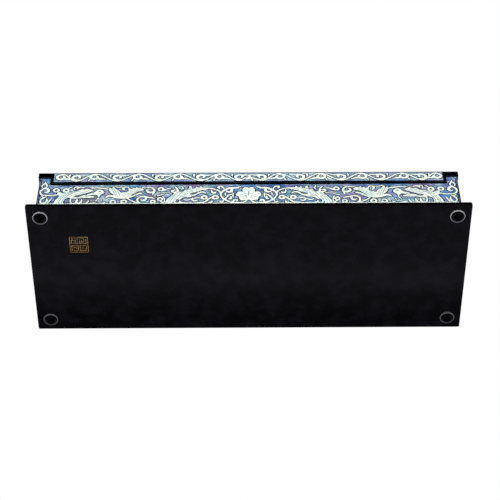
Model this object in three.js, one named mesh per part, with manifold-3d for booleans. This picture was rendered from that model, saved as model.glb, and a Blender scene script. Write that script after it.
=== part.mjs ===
// A flat pen holder with a hinged lid: black lacquered wood with sheets of shell inlay.
// Millimetres, +Z up. The origin is on the ground in the middle of the base plate, the length runs
// along X and the front faces -Y.
import * as THREE from 'three';
import { mergeVertices } from 'three/addons/utils/BufferGeometryUtils.js';
import Module from 'manifold-3d';

const wasm = await Module();
wasm.setup();

// Driving dimensions of the base plate and its feet
const plateLength = 260;
const plateDepth = 96;
const plateThickness = 3;
const plateCornerRadius = 1;
const footRadius = 4.4;
const footSoleRadius = 3.4;
const footHeight = 2.5;
const footRimHeight = 0.8;
const footInset = 8.2; // from the plate's edges to the middle of a foot

// Driving dimensions of the case
const plateMargin = 5.25; // the plate stands out this far past the case
const boardThickness = 5.75;
const sheetThickness = 0.75; // the inlaid sheets over the boards
const wallHeight = 25; // front and back walls above the plate
const feltThickness = 1;
const feltDrop = 1.5; // from the top of the walls down to the felt on them

// Driving dimensions of the lid
const lidThickness = 9.5;
const lidLapThickness = 3.9; // the ends that lap over the side walls
const lidFrontOverhang = 1.2;
const lidSideOverhang = 0.75;
const lidRunningGap = 0.5; // between the lid's thick middle and each side wall
const lidEdgeRadius = 1.2;
const stripThickness = 0.6;
const stripSideBorder = 1.5;
const stripLowerBorder = 1;
const stripUpperBorder = 0.6;
const panelThickness = 0.6;
const panelBorder = 6;
const lidFeltInset = 2.5; // from the felt on the walls to the felt under the lid

// Driving dimensions of the pen rests
const restWidth = 8;
const restHeight = 9;
const restInset = 30; // from the left end of the felt to the first rest
const restSpacing = 110;
const grooveRadius = 6;
const grooveDepth = 3.4;
const grooveLand = 2.6; // flat top between two grooves

// Driving dimensions of the hinges and their screws
const hingeInset = 45; // from the case's end to the middle of a hinge
const hingeWidth = 20;
const hingeSetback = 1.9; // from the back of the case to the axis of the lid
const leafThickness = 0.9;
const leafMargin = 1.2; // from the lid's top to the leaf on it
const knuckleRadius = 1.5;
const knuckleGap = 0.3; // running gap beside and around a knuckle
const pinRadius = 0.75;
const pinClearance = 0.3;
const pinHeadLength = 0.6;
const stopAngle = 100; // degrees that the lid opens
const heelLength = 2.9;
const heelThickness = 1;
const heelClearance = 0.15;
const screwEdge = 4; // from a leaf's end to the middle of a screw
const screwRadius = 0.8;
const screwHeadRadius = 1.5;
const screwHeadHeight = 0.7;
const screwTipCover = 2; // wood left between a screw's tip and the inside of the case
const screwClearance = 0.3;

// Levels, from the ground up
const plateBottom = footHeight;
const plateTop = plateBottom + plateThickness;
const seam = plateTop + wallHeight; // top of the front and back walls, underside of the lid
const lidTop = seam + lidThickness;
const lapLevel = lidTop - lidLapThickness; // top of the side walls
const feltTop = plateTop + feltThickness;
const wallFeltTop = seam - feltDrop;

// Half lengths along X, outermost first
const plateHalfLength = plateLength / 2;
const caseHalfLength = plateHalfLength - plateMargin;
const lidHalfLength = caseHalfLength + lidSideOverhang;
const boardHalfLength = caseHalfLength - sheetThickness;
const innerHalfLength = boardHalfLength - boardThickness;
const feltHalfLength = innerHalfLength - feltThickness;
const lidMiddleHalfLength = innerHalfLength - lidRunningGap;

// Half depths along Y, outermost first
const plateHalfDepth = plateDepth / 2;
const caseHalfDepth = plateHalfDepth - plateMargin;
const boardHalfDepth = caseHalfDepth - sheetThickness;
const innerHalfDepth = boardHalfDepth - boardThickness;
const feltHalfDepth = innerHalfDepth - feltThickness;
const lidFront = -caseHalfDepth - lidFrontOverhang;
const lidBack = caseHalfDepth;

// Places on a hinge
const axisY = caseHalfDepth + hingeSetback;
const leafOuter = caseHalfDepth + leafThickness;
const hingeHalfWidth = hingeWidth / 2;
const knuckleLength = (hingeWidth - 2 * knuckleGap) / 3;
const leafNear = knuckleRadius + knuckleGap; // from the axis to a leaf's edge beside a knuckle
const leafFar = lidThickness - leafMargin; // from the axis to a leaf's far edge
const screwLevel = (leafNear + leafFar) / 2;
const screwOffset = hingeHalfWidth - screwEdge;
const screwTip = innerHalfDepth + screwTipCover;
const PAST = 1; // how far a cutter runs out of what it cuts
const ROUND_STEPS = 32;
const FINE_STEPS = 20;

const lacquer = { color: 0x101012, roughness: 0.22, metalness: 0 };
const shell = { color: 0xa5b4bb, roughness: 0.25, metalness: 0.1 };
const felt = { color: 0x5a1420, roughness: 0.95, metalness: 0 };
const rubber = { color: 0x1a1a1c, roughness: 0.5, metalness: 0 };
const brass = { color: 0xb08d4a, roughness: 0.35, metalness: 1 };

// Moves every vertex of a geometry to the place that the rule gives for it.
function place(geometry, rule) {
  const position = geometry.attributes.position;
  for (let i = 0; i < position.count; i += 1) {
    position.setXYZ(i, ...rule(position.getX(i), position.getY(i), position.getZ(i)));
  }
  return geometry;
}

// A box from its low and high faces, so that two boxes given the same face meet exactly.
function slab([x0, x1], [y0, y1], [z0, z1]) {
  return place(new THREE.BoxGeometry(1, 1, 1), (x, y, z) => [
    x < 0 ? x0 : x1,
    y < 0 ? y0 : y1,
    z < 0 ? z0 : z1,
  ]);
}

// An outline between two places on an axis: drawn in x, y for Z, in x, z for Y and in y, z for X.
function prism(outline, axis, [low, high]) {
  const geometry = new THREE.ExtrudeGeometry(outline, {
    depth: 1,
    bevelEnabled: false,
    curveSegments: 8,
  });
  const rules = {
    x: (u, v, w) => [w > 0.5 ? high : low, u, v],
    y: (u, v, w) => [u, w > 0.5 ? low : high, v],
    z: (u, v, w) => [u, v, w > 0.5 ? high : low],
  };
  return place(geometry, rules[axis]);
}

// A round piece turned about an axis through the origin, from points of radius and place on the axis.
function turned(points, axis, steps = FINE_STEPS) {
  const profile = points.map(([radius, along]) => new THREE.Vector2(radius, along));
  const rules = {
    x: (u, v, w) => [v, w, u],
    y: (u, v, w) => [u, v, w],
    z: (u, v, w) => [u, -w, v],
  };
  return place(new THREE.LatheGeometry(profile, steps), rules[axis]);
}

function rod(radius, [low, high], axis) {
  return turned([[0, low], [radius, low], [radius, high], [0, high]], axis);
}

function solidOf(geometry) {
  const bare = geometry.clone();
  bare.deleteAttribute('normal');
  bare.deleteAttribute('uv');
  const merged = mergeVertices(bare);
  return new wasm.Manifold(
    new wasm.Mesh({
      numProp: 3,
      vertProperties: merged.attributes.position.array,
      triVerts: new Uint32Array(merged.index.array),
    }),
  );
}

function geometryOf(solid) {
  const mesh = solid.getMesh();
  const geometry = new THREE.BufferGeometry();
  geometry.setAttribute('position', new THREE.BufferAttribute(new Float32Array(mesh.vertProperties), 3));
  geometry.setIndex(new THREE.BufferAttribute(new Uint32Array(mesh.triVerts), 1));
  return geometry;
}

function joined(...geometries) {
  return geometryOf(geometries.map(solidOf).reduce((whole, next) => whole.add(next)));
}

function cut(geometry, ...cutters) {
  return geometryOf(cutters.map(solidOf).reduce((left, cutter) => left.subtract(cutter), solidOf(geometry)));
}

function addPiece(group, name, geometry, look) {
  geometry.computeVertexNormals();
  const mesh = new THREE.Mesh(geometry, new THREE.MeshStandardMaterial(look));
  mesh.name = name;
  group.add(mesh);
  return mesh;
}

const span = (half) => [-half, half];
const mirrored = (side, near, far) => (side < 0 ? [-far, -near] : [near, far]);
const SIDES = [['left', -1], ['right', 1]];

const hingeCentres = SIDES.map(([, side]) => side * (caseHalfLength - hingeInset));
const screwPlaces = hingeCentres.flatMap((centre) => [centre - screwOffset, centre + screwOffset]);

// Clearance holes for the hinge screws at one level, between two places along Y.
function screwHoles(level, range) {
  return screwPlaces.map((x) => rod(screwRadius + screwClearance, range, 'y').translate(x, 0, level));
}

function plateOutline() {
  const right = plateHalfLength - plateCornerRadius;
  const back = plateHalfDepth - plateCornerRadius;
  const quarter = Math.PI / 2;
  const outline = new THREE.Shape();
  outline.absarc(right, back, plateCornerRadius, 0, quarter);
  outline.absarc(-right, back, plateCornerRadius, quarter, 2 * quarter);
  outline.absarc(-right, -back, plateCornerRadius, 2 * quarter, 3 * quarter);
  outline.absarc(right, -back, plateCornerRadius, 3 * quarter, 4 * quarter);
  return outline;
}

function addBase(group) {
  addPiece(group, 'base_plate', prism(plateOutline(), 'z', [plateBottom, plateTop]), lacquer);
  const profile = [
    [0, 0],
    [footSoleRadius, 0],
    [footRadius, plateBottom - footRimHeight],
    [footRadius, plateBottom],
    [0, plateBottom],
  ];
  for (const [end, y] of [['front', footInset - plateHalfDepth], ['back', plateHalfDepth - footInset]]) {
    for (const [side, sign] of SIDES) {
      const foot = addPiece(group, `foot_${end}_${side}`, turned(profile, 'z', ROUND_STEPS), rubber);
      foot.position.set(sign * (plateHalfLength - footInset), y, 0);
    }
  }
}

// The outline of the front and back sheets: low between the side walls, full height over their ends.
function notchedOutline() {
  const outline = new THREE.Shape();
  outline.moveTo(-caseHalfLength, plateTop);
  outline.lineTo(caseHalfLength, plateTop);
  outline.lineTo(caseHalfLength, lapLevel);
  outline.lineTo(innerHalfLength, lapLevel);
  outline.lineTo(innerHalfLength, seam);
  outline.lineTo(-innerHalfLength, seam);
  outline.lineTo(-innerHalfLength, lapLevel);
  outline.lineTo(-caseHalfLength, lapLevel);
  return outline;
}

function addWalls(group) {
  const low = [plateTop, seam];
  const high = [plateTop, lapLevel];
  const frontWall = slab(span(innerHalfLength), [-boardHalfDepth, -innerHalfDepth], low);
  const backWall = slab(span(innerHalfLength), [innerHalfDepth, boardHalfDepth], low);
  const caseScrewLevel = seam - screwLevel;
  const pilot = [screwTip - screwClearance, boardHalfDepth + PAST];
  addPiece(group, 'front_wall', frontWall, lacquer);
  addPiece(group, 'back_wall', cut(backWall, ...screwHoles(caseScrewLevel, pilot)), lacquer);

  const frontSheet = prism(notchedOutline(), 'y', [-caseHalfDepth, -boardHalfDepth]);
  const backSheet = prism(notchedOutline(), 'y', [boardHalfDepth, caseHalfDepth]);
  const through = [boardHalfDepth - PAST, caseHalfDepth + PAST];
  addPiece(group, 'front_inlay', frontSheet, shell);
  addPiece(group, 'back_inlay', cut(backSheet, ...screwHoles(caseScrewLevel, through)), shell);

  for (const [side, sign] of SIDES) {
    const board = mirrored(sign, innerHalfLength, boardHalfLength);
    const sheet = mirrored(sign, boardHalfLength, caseHalfLength);
    addPiece(group, `${side}_wall`, slab(board, span(boardHalfDepth), high), lacquer);
    addPiece(group, `${side}_inlay`, slab(sheet, span(boardHalfDepth), high), shell);
  }
}

function addLinings(group) {
  const floor = slab(span(innerHalfLength), span(innerHalfDepth), [plateTop, feltTop]);
  addPiece(group, 'floor_lining', floor, felt);
  for (const [end, sign] of [['front', -1], ['back', 1]]) {
    const depth = mirrored(sign, feltHalfDepth, innerHalfDepth);
    addPiece(group, `${end}_lining`, slab(span(innerHalfLength), depth, [feltTop, wallFeltTop]), felt);
  }
  for (const [side, sign] of SIDES) {
    const length = mirrored(sign, feltHalfLength, innerHalfLength);
    addPiece(group, `${side}_lining`, slab(length, span(feltHalfDepth), [feltTop, wallFeltTop]), felt);
  }
}

// A bar across the case with round grooves in its top, as many as fit between the felts.
function restOutline() {
  const top = feltTop + restHeight;
  const halfGroove = Math.sqrt(grooveRadius ** 2 - (grooveRadius - grooveDepth) ** 2);
  const pitch = 2 * halfGroove + grooveLand;
  const count = Math.floor((2 * feltHalfDepth - grooveLand) / pitch);
  const halfAngle = Math.asin(halfGroove / grooveRadius);
  const outline = new THREE.Shape();
  outline.moveTo(feltHalfDepth, feltTop);
  outline.lineTo(feltHalfDepth, top);
  for (let i = count - 1; i >= 0; i -= 1) {
    const middle = (i - (count - 1) / 2) * pitch;
    const start = -Math.PI / 2 + halfAngle;
    const end = -Math.PI / 2 - halfAngle;
    outline.absarc(middle, top + grooveRadius - grooveDepth, grooveRadius, start, end, true);
  }
  outline.lineTo(-feltHalfDepth, top);
  outline.lineTo(-feltHalfDepth, feltTop);
  return outline;
}

function addPenRests(group) {
  for (const [side, start] of [['left', restInset], ['right', restInset + restSpacing]]) {
    const near = -feltHalfLength + start;
    addPiece(group, `pen_rest_${side}`, prism(restOutline(), 'x', [near, near + restWidth]), lacquer);
  }
}

// The lid's outline from the front: thick between the side walls, thinner where it laps over them.
function lidOutline() {
  const roundEnd = lidHalfLength - lidEdgeRadius;
  const roundLevel = lidTop - lidEdgeRadius;
  const outline = new THREE.Shape();
  outline.moveTo(-lidMiddleHalfLength, seam);
  outline.lineTo(lidMiddleHalfLength, seam);
  outline.lineTo(lidMiddleHalfLength, lapLevel);
  outline.lineTo(lidHalfLength, lapLevel);
  outline.absarc(roundEnd, roundLevel, lidEdgeRadius, 0, Math.PI / 2);
  outline.absarc(-roundEnd, roundLevel, lidEdgeRadius, Math.PI / 2, Math.PI);
  outline.lineTo(-lidHalfLength, lapLevel);
  outline.lineTo(-lidMiddleHalfLength, lapLevel);
  return outline;
}

function addLid(group) {
  const stripLength = span(lidMiddleHalfLength - stripSideBorder);
  const stripLevels = [seam + stripLowerBorder, lidTop - stripUpperBorder];
  const stripBack = lidFront + stripThickness;
  const panelLength = span(lidHalfLength - panelBorder);
  const panelDepth = [lidFront + panelBorder, lidBack - panelBorder];
  const panelBottom = lidTop - panelThickness;
  const board = cut(
    prism(lidOutline(), 'y', [lidFront, lidBack]),
    slab(stripLength, [lidFront - PAST, stripBack], stripLevels),
    slab(panelLength, panelDepth, [panelBottom, lidTop + PAST]),
    ...screwHoles(seam + screwLevel, [screwTip - screwClearance, lidBack + PAST]),
  );
  addPiece(group, 'lid_board', board, lacquer);
  addPiece(group, 'lid_front_inlay', slab(stripLength, [lidFront, stripBack], stripLevels), shell);
  addPiece(group, 'lid_top_inlay', slab(panelLength, panelDepth, [panelBottom, lidTop]), shell);
  const feltLength = span(feltHalfLength - lidFeltInset);
  const feltDepth = span(feltHalfDepth - lidFeltInset);
  addPiece(group, 'lid_lining', slab(feltLength, feltDepth, [seam - feltThickness, seam]), felt);
}

const outerKnuckles = [[-hingeHalfWidth, knuckleLength - hingeHalfWidth], [hingeHalfWidth - knuckleLength, hingeHalfWidth]];
const middleKnuckle = span(knuckleLength / 2);
const leafRange = [caseHalfDepth, leafOuter];

const knuckle = (range) => rod(knuckleRadius, range, 'x').translate(0, axisY, seam);
const pinBore = () => rod(pinRadius + pinClearance, span(hingeHalfWidth + PAST), 'x').translate(0, axisY, seam);

function leafScrewHoles(level) {
  return [-screwOffset, screwOffset].map((x) =>
    rod(screwRadius + screwClearance, [caseHalfDepth - PAST, leafOuter + PAST], 'y').translate(x, 0, level),
  );
}

function caseLeaf() {
  const whole = joined(
    slab(span(hingeHalfWidth), leafRange, [seam - leafFar, seam - leafNear]),
    ...outerKnuckles.map((range) => slab(range, leafRange, [seam - leafFar, seam])),
    ...outerKnuckles.map(knuckle),
  );
  return cut(whole, pinBore(), ...leafScrewHoles(seam - screwLevel));
}

// The heel is drawn where it meets the case leaf, with the lid open, and turned back to the closed lid.
function stopHeel() {
  const face = leafThickness - hingeSetback + heelClearance;
  return slab(middleKnuckle, [face, face + heelThickness], [-heelLength, 0])
    .rotateX(THREE.MathUtils.degToRad(stopAngle))
    .translate(0, axisY, seam);
}

function lidLeaf() {
  const whole = joined(
    slab(span(hingeHalfWidth), leafRange, [seam + leafNear, seam + leafFar]),
    slab(middleKnuckle, leafRange, [seam, seam + leafFar]),
    knuckle(middleKnuckle),
    stopHeel(),
  );
  return cut(whole, pinBore(), ...leafScrewHoles(seam + screwLevel));
}

function hingePin() {
  const end = hingeHalfWidth + pinHeadLength;
  return turned([
    [0, -end],
    [knuckleRadius, -end],
    [knuckleRadius, -hingeHalfWidth],
    [pinRadius, -hingeHalfWidth],
    [pinRadius, hingeHalfWidth],
    [knuckleRadius, hingeHalfWidth],
    [knuckleRadius, end],
    [0, end],
  ], 'x').translate(0, axisY, seam);
}

function screw() {
  const crown = leafOuter + screwHeadHeight;
  return turned([
    [0, screwTip],
    [screwRadius, screwTip + screwRadius],
    [screwRadius, leafOuter],
    [screwHeadRadius, leafOuter],
    [screwHeadRadius, leafOuter + screwHeadHeight / 3],
    [screwHeadRadius * 0.6, crown],
    [0, crown],
  ], 'y');
}

// One hinge: what stays on the case goes in one group and what turns with the lid in the other.
function addHinge(caseGroup, lidGroup, side, centre) {
  const parts = [
    [caseGroup, 'case', caseLeaf(), seam - screwLevel],
    [lidGroup, 'lid', lidLeaf(), seam + screwLevel],
  ];
  for (const [group, holder, leaf, level] of parts) {
    addPiece(group, `hinge_${side}_${holder}_leaf`, leaf, brass).position.set(centre, 0, 0);
    [-screwOffset, screwOffset].forEach((x, i) => {
      const name = `hinge_${side}_${holder}_screw_${i + 1}`;
      addPiece(group, name, screw(), brass).position.set(centre + x, 0, level);
    });
  }
  addPiece(caseGroup, `hinge_${side}_pin`, hingePin(), brass).position.set(centre, 0, 0);
}

const penHolder = new THREE.Group();
const caseGroup = new THREE.Group();
const lidGroup = new THREE.Group();
penHolder.add(caseGroup, lidGroup);

addBase(caseGroup);
addWalls(caseGroup);
addLinings(caseGroup);
addPenRests(caseGroup);
addLid(lidGroup);
SIDES.forEach(([side], i) => addHinge(caseGroup, lidGroup, side, hingeCentres[i]));

export default penHolder;
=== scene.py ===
import bpy
import bmesh
import math
from mathutils import Euler, Matrix, Vector


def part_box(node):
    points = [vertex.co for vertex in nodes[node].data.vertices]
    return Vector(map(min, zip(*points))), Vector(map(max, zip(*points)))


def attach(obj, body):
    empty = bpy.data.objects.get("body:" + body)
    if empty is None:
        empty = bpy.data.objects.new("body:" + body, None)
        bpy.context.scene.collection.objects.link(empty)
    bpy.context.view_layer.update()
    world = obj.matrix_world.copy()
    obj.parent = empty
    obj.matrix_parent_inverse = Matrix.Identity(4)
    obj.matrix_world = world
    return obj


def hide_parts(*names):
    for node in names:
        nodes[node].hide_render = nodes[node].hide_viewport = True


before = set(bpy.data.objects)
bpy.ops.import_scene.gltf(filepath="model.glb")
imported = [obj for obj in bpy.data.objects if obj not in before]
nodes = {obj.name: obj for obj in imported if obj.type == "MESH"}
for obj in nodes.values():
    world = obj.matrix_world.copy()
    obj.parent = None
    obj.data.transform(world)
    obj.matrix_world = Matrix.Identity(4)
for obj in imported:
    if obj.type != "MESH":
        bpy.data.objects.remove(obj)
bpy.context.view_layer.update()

MM = 0.001

# Faces of the case and the lid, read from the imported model, in millimetres

FRONT_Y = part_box("front_inlay")[0].y / MM
BACK_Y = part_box("back_inlay")[1].y / MM
LEFT_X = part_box("left_inlay")[0].x / MM
RIGHT_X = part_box("right_inlay")[1].x / MM
STRIP_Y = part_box("lid_front_inlay")[0].y / MM
TOP_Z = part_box("lid_top_inlay")[1].z / MM
UNDERSIDE_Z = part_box("base_plate")[0].z / MM
BAND_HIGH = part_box("front_wall")[1].z / MM
FOOT_PLACE = (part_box("foot_back_right")[0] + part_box("foot_back_right")[1]) / 2.0 / MM

# How far each layer of the inlay stands out of its sheet, in millimetres, and how steeply it rises to that

OUTLINE_TOP = 0.030
SHELL_TOP = 0.075
CUT_TOP = 0.120
ROD_RISE = 0.5
CUT_RISE = 3.0

# How much fuller than drawn the strokes are cut, and how far the dark lacquer runs out round them

FIGURE_SWELL = 0.17
STRIP_SWELL = 0.23
CUT_SWELL = 0.11
OUTLINE_MARGIN = 0.40


# Shader sums


class Value:
    """One output of a shader node, on which plain sums work."""

    def __init__(self, tree, socket):
        self.tree = tree
        self.socket = socket

    def math(self, operation, *others):
        node = self.tree.nodes.new("ShaderNodeMath")
        node.operation = operation
        for place, item in zip(node.inputs, (self, *others)):
            connect(self.tree, place, item)
        return Value(self.tree, node.outputs[0])

    def __add__(self, other):
        return self.math("ADD", other)

    __radd__ = __add__

    def __sub__(self, other):
        return self.math("SUBTRACT", other)

    def __rsub__(self, other):
        return self.math("MULTIPLY", -1.0).math("ADD", other)

    def __mul__(self, other):
        return self.math("MULTIPLY", other)

    __rmul__ = __mul__

    def __truediv__(self, other):
        return self.math("DIVIDE", other)

    def __pow__(self, other):
        return self.math("POWER", other)

    def __abs__(self):
        return self.math("ABSOLUTE")


def connect(tree, place, item):
    """Links a value to a socket, or writes a number or colour on it."""
    if isinstance(item, Value):
        tree.links.new(item.socket, place)
    elif isinstance(item, tuple) and len(item) == 3 and place.type == "RGBA":
        place.default_value = (*item, 1.0)
    else:
        place.default_value = item


def set_stops(ramp, stops):
    """Gives a colour ramp its stops, each a position and a colour."""
    while len(ramp.elements) < len(stops):
        ramp.elements.new(0.5)
    for element, (position, colour) in zip(ramp.elements, stops):
        element.position = position
        element.color = (*colour, 1.0)


class Nodes:
    """A node tree, with a short way to each kind of node used here."""

    def __init__(self, tree):
        self.tree = tree

    def node(self, kind, settings=None, output=0, **inputs):
        """Makes a node; inputs are named with _ for a space, or with in0, in1 for a place."""
        node = self.tree.nodes.new(kind)
        for key, item in (settings or {}).items():
            if key == "stops":
                set_stops(node.color_ramp, item)
            else:
                setattr(node, key, item)
        for key, item in inputs.items():
            place = node.inputs[int(key[2:])] if key[:2] == "in" else node.inputs[key.replace("_", " ")]
            connect(self.tree, place, item)
        return Value(self.tree, node.outputs[output])

    def spot(self, stretch=(1.0, 1.0, 1.0), turn=(0.0, 0.0, 0.0)):
        """Object coordinates, turned and scaled along each axis."""
        where = self.node("ShaderNodeTexCoord", output="Object")
        return self.node("ShaderNodeMapping", Vector=where, Rotation=turn, Scale=stretch)

    def noise(self, where, scale, detail=3.0, roughness=0.5, distortion=0.0):
        return self.node("ShaderNodeTexNoise", Vector=where, Scale=scale, Detail=detail,
                         Roughness=roughness, Distortion=distortion)

    def cells(self, where, feature="F1"):
        return self.node("ShaderNodeTexVoronoi", {"feature": feature}, "Distance", Vector=where, Scale=1.0)

    def fade(self, value, low, high, start=0.0, end=1.0):
        """A smooth step of a value from low to high."""
        return self.node("ShaderNodeMapRange", {"interpolation_type": "SMOOTHSTEP"},
                         in0=value, in1=low, in2=high, in3=start, in4=end)

    def mix(self, factor, first, second):
        """A mix of two colours."""
        return self.node("ShaderNodeMix", {"data_type": "RGBA"}, "Result",
                         in0=factor, in6=first, in7=second)

    def ramp(self, factor, *stops):
        """The colour at a factor between stops."""
        return self.node("ShaderNodeValToRGB", {"stops": stops}, in0=factor)

    def split(self, where, axis):
        """One axis of a place."""
        return self.node("ShaderNodeSeparateXYZ", output=axis, Vector=where)


class Finish(Nodes):
    """A material with one Principled shader."""

    def __init__(self, name, **constants):
        self.material = bpy.data.materials.new(name)
        self.material.use_nodes = True
        super().__init__(self.material.node_tree)
        self.shader = self.tree.nodes["Principled BSDF"]
        for key, item in constants.items():
            self.set(key.replace("_", " "), item)

    def set(self, socket, item):
        connect(self.tree, self.shader.inputs[socket], item)

    def bump(self, height, strength, distance):
        """Lets the surface rise and fall with a height, over a distance in metres."""
        self.set("Normal", self.node("ShaderNodeBump", output="Normal", Height=height, Strength=strength,
                                     Distance=distance))


# Finishes

UNDERSIDE_FADE = (UNDERSIDE_Z + 0.05, UNDERSIDE_Z + 0.3)


def black_lacquer():
    """Deep black lacquer, rubbed to a gloss; the underside is a little cloudy."""
    finish = Finish("black_lacquer", Coat_Roughness=0.015, Coat_Weight=0.25, Specular_IOR_Level=0.45)
    where = finish.spot()
    cloud = finish.noise(where, 110.0, 5.0, 0.68)
    wave = finish.noise(where, 40.0, 1.0)
    speck = finish.noise(where, 900.0, 2.0)
    hair = finish.noise(finish.spot((60.0, 2600.0, 2600.0), (0.0, 0.0, 0.35)), 1.0, 2.0)
    haze = finish.fade(cloud, 0.38, 0.70)
    start, end = UNDERSIDE_FADE
    under = finish.fade(finish.split(where, "Z"), start * MM, end * MM, 1.0, 0.0)
    deep = finish.mix(haze, (0.0003, 0.0003, 0.0004), (0.0010, 0.0010, 0.0014))
    dull = finish.mix(haze, (0.0003, 0.0002, 0.0004), (0.0048, 0.0041, 0.0066))
    finish.set("Base Color", finish.mix(under, deep, dull))
    finish.set("Roughness", 0.010 + 0.008 * haze + 0.004 * speck)
    finish.bump(wave * 0.5 + hair * 0.02 + haze * 0.01, 0.06, 0.0002)
    return finish.material


def nacre(finish, where):
    """The tone that shell's colours follow, which changes slowly, and the quicker noise in it."""
    slow = finish.noise(where, 100.0, 2.5, 0.55, 0.8)
    quick = finish.noise(where, 360.0, 3.0, 0.6, 1.4)
    return finish.fade(slow * 0.68 + quick * 0.32, 0.38, 0.62), quick


# Patches of another tint in the shell ground of the front: (along, up, reach) in millimetres, and the tint

PATCH_FLATNESS = 1.7
PATCH_EDGE_NOISE = 12.0
PATCH_STRENGTH = 0.75
WARM, VIOLET, AZURE = (0.20, 0.155, 0.14), (0.30, 0.17, 0.40), (0.06, 0.30, 0.62)
TEAL, NAVY = (0.08, 0.34, 0.40), (0.08, 0.14, 0.36)
PATCHES = [
    (-97.0, 14.0, 15.0, WARM), (-55.0, 19.5, 8.0, WARM), (-57.0, 27.0, 9.0, VIOLET),
    (-33.0, 29.0, 9.0, VIOLET), (-82.0, 22.0, 9.0, VIOLET), (-15.0, 18.0, 10.0, TEAL),
    (-2.0, 27.0, 13.0, AZURE), (9.0, 14.0, 11.0, AZURE), (33.0, 14.0, 8.0, AZURE),
    (62.0, 18.0, 11.0, VIOLET), (86.0, 28.0, 12.0, AZURE), (118.0, 20.0, 13.0, AZURE),
    (102.0, 27.0, 9.0, VIOLET), (-70.0, 28.0, 10.0, AZURE), (-116.0, 35.0, 9.0, AZURE),
    (-20.0, 37.0, 12.0, AZURE), (5.0, 37.0, 12.0, TEAL), (57.0, 38.0, 9.0, AZURE), (98.0, 36.0, 8.0, TEAL),
    (76.0, 35.0, 7.0, VIOLET), (-100.0, 34.0, 10.0, VIOLET), (-119.0, 24.0, 15.0, NAVY),
    (-106.0, 29.0, 9.0, NAVY), (121.0, 28.0, 8.0, NAVY), (-117.2, 38.0, 5.0, NAVY),
]


def shell_ground(name, lift):
    """The sheet of blue and violet shell behind the figures, with lines of growth; lift makes it paler."""
    finish = Finish(name, Specular_IOR_Level=0.5, Coat_Roughness=0.06, Coat_Weight=0.5)
    tone, quick = nacre(finish, finish.spot((0.55, 1.0, 1.0)))
    colour = finish.ramp(
        tone,
        (0.0, (0.035, 0.130, 0.360)),
        (0.16, (0.100, 0.200, 0.480)),
        (0.32, (0.220, 0.240, 0.540)),
        (0.48, (0.360, 0.320, 0.540)),
        (0.60, (0.200, 0.300, 0.540)),
        (0.76, (0.090, 0.340, 0.420)),
        (0.88, (0.260, 0.500, 0.560)),
        (1.0, (0.560, 0.700, 0.740)),
    )
    flat = finish.spot((1.0, 0.0, PATCH_FLATNESS))
    for u, v, reach, tint in PATCHES:
        middle = (u * MM, 0.0, v * MM * PATCH_FLATNESS)
        gap = finish.node("ShaderNodeVectorMath", {"operation": "DISTANCE"}, "Value", in0=flat, in1=middle)
        uneven = gap + (quick - 0.5) * PATCH_EDGE_NOISE * MM
        patch = finish.fade(uneven, 0.3 * reach * MM, reach * MM, PATCH_STRENGTH, 0.0)
        colour = finish.mix(patch, colour, tint)
    streak = finish.noise(finish.spot((90.0, 90.0, 900.0)), 1.0, 3.0, 0.6, 0.8)
    shaded = finish.mix(0.55, colour, (0.03, 0.05, 0.10))
    colour = finish.mix(finish.fade(streak, 0.40, 0.64), shaded, colour)
    # Painted highlight: pale blue patches mixed into the shell's colour, standing in for glints of light on
    # the sheet.
    painted_glint = finish.fade(finish.noise(finish.spot((220.0, 220.0, 800.0)), 1.0, 2.0), 0.52, 0.70)
    colour = finish.mix(painted_glint * 0.4, colour, (0.62, 0.72, 0.82))
    crack = finish.cells(finish.spot((170.0, 170.0, 250.0)), "DISTANCE_TO_EDGE")
    open_crack = finish.fade(crack, 0.012, 0.05, 1.0, 0.0)
    colour = finish.mix(open_crack * 0.6, colour, (0.02, 0.03, 0.06))
    finish.set("Base Color", finish.mix(lift, colour, (0.70, 0.84, 0.88)))
    finish.set("Roughness", 0.2 + 0.18 * quick)
    finish.bump(streak * 0.4 - open_crack * 0.8, 0.25, 0.00008)
    return finish.material


def shell_figures():
    """Bright cream and pale green shell in fine layers, with painted shade that darkens it towards the ends.
    """
    finish = Finish("shell_figures", Specular_IOR_Level=0.55, Coat_Roughness=0.05, Coat_Weight=0.55)
    where = finish.spot()
    tone, quick = nacre(finish, where)
    colour = finish.ramp(
        tone,
        (0.0, (0.700, 0.880, 0.820)),
        (0.25, (0.880, 0.930, 0.760)),
        (0.45, (0.960, 0.970, 0.880)),
        (0.62, (0.840, 0.930, 0.790)),
        (0.80, (0.920, 0.900, 0.890)),
        (1.0, (0.680, 0.880, 0.880)),
    )
    # Painted shade: the figures are darkened towards the ends, as if less light fell there than in the
    # middle.
    painted_end_shade = finish.fade(abs(finish.split(where, "X")), 0.030, 0.070)
    colour = finish.mix(painted_end_shade * 0.3, colour, (0.62, 0.68, 0.58))
    layers = finish.noise(finish.spot((520.0, 520.0, 1500.0), (0.3, 0.3, 0.0)), 1.0, 3.0, 0.6)
    grain = finish.fade(layers, 0.36, 0.56)
    finish.set("Base Color", finish.mix(grain, finish.mix(0.6, colour, (0.26, 0.38, 0.36)), colour))
    finish.set("Roughness", 0.22 + 0.15 * quick)
    finish.bump(layers, 0.2, 0.00006)
    return finish.material


def outline_lacquer():
    """Blue black lacquer that has run in round the figures."""
    finish = Finish("outline_lacquer", Specular_IOR_Level=0.5, Coat_Weight=0.3, Coat_Roughness=0.06)
    tint = finish.noise(finish.spot(), 180.0, 3.0)
    finish.set("Base Color", finish.mix(tint, (0.004, 0.007, 0.016), (0.018, 0.030, 0.066)))
    finish.set("Roughness", 0.16 + 0.12 * tint)
    finish.bump(tint, 0.15, 0.00008)
    return finish.material


def engraving():
    """Grey green lines cut in feathers and petals."""
    finish = Finish("engraving", Specular_IOR_Level=0.4)
    tint = finish.noise(finish.spot(), 400.0, 3.0)
    finish.set("Base Color", finish.mix(tint, (0.11, 0.17, 0.19), (0.25, 0.34, 0.30)))
    finish.set("Roughness", 0.35 + 0.2 * tint)
    finish.bump(tint, 0.2, 0.00004)
    return finish.material


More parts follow.
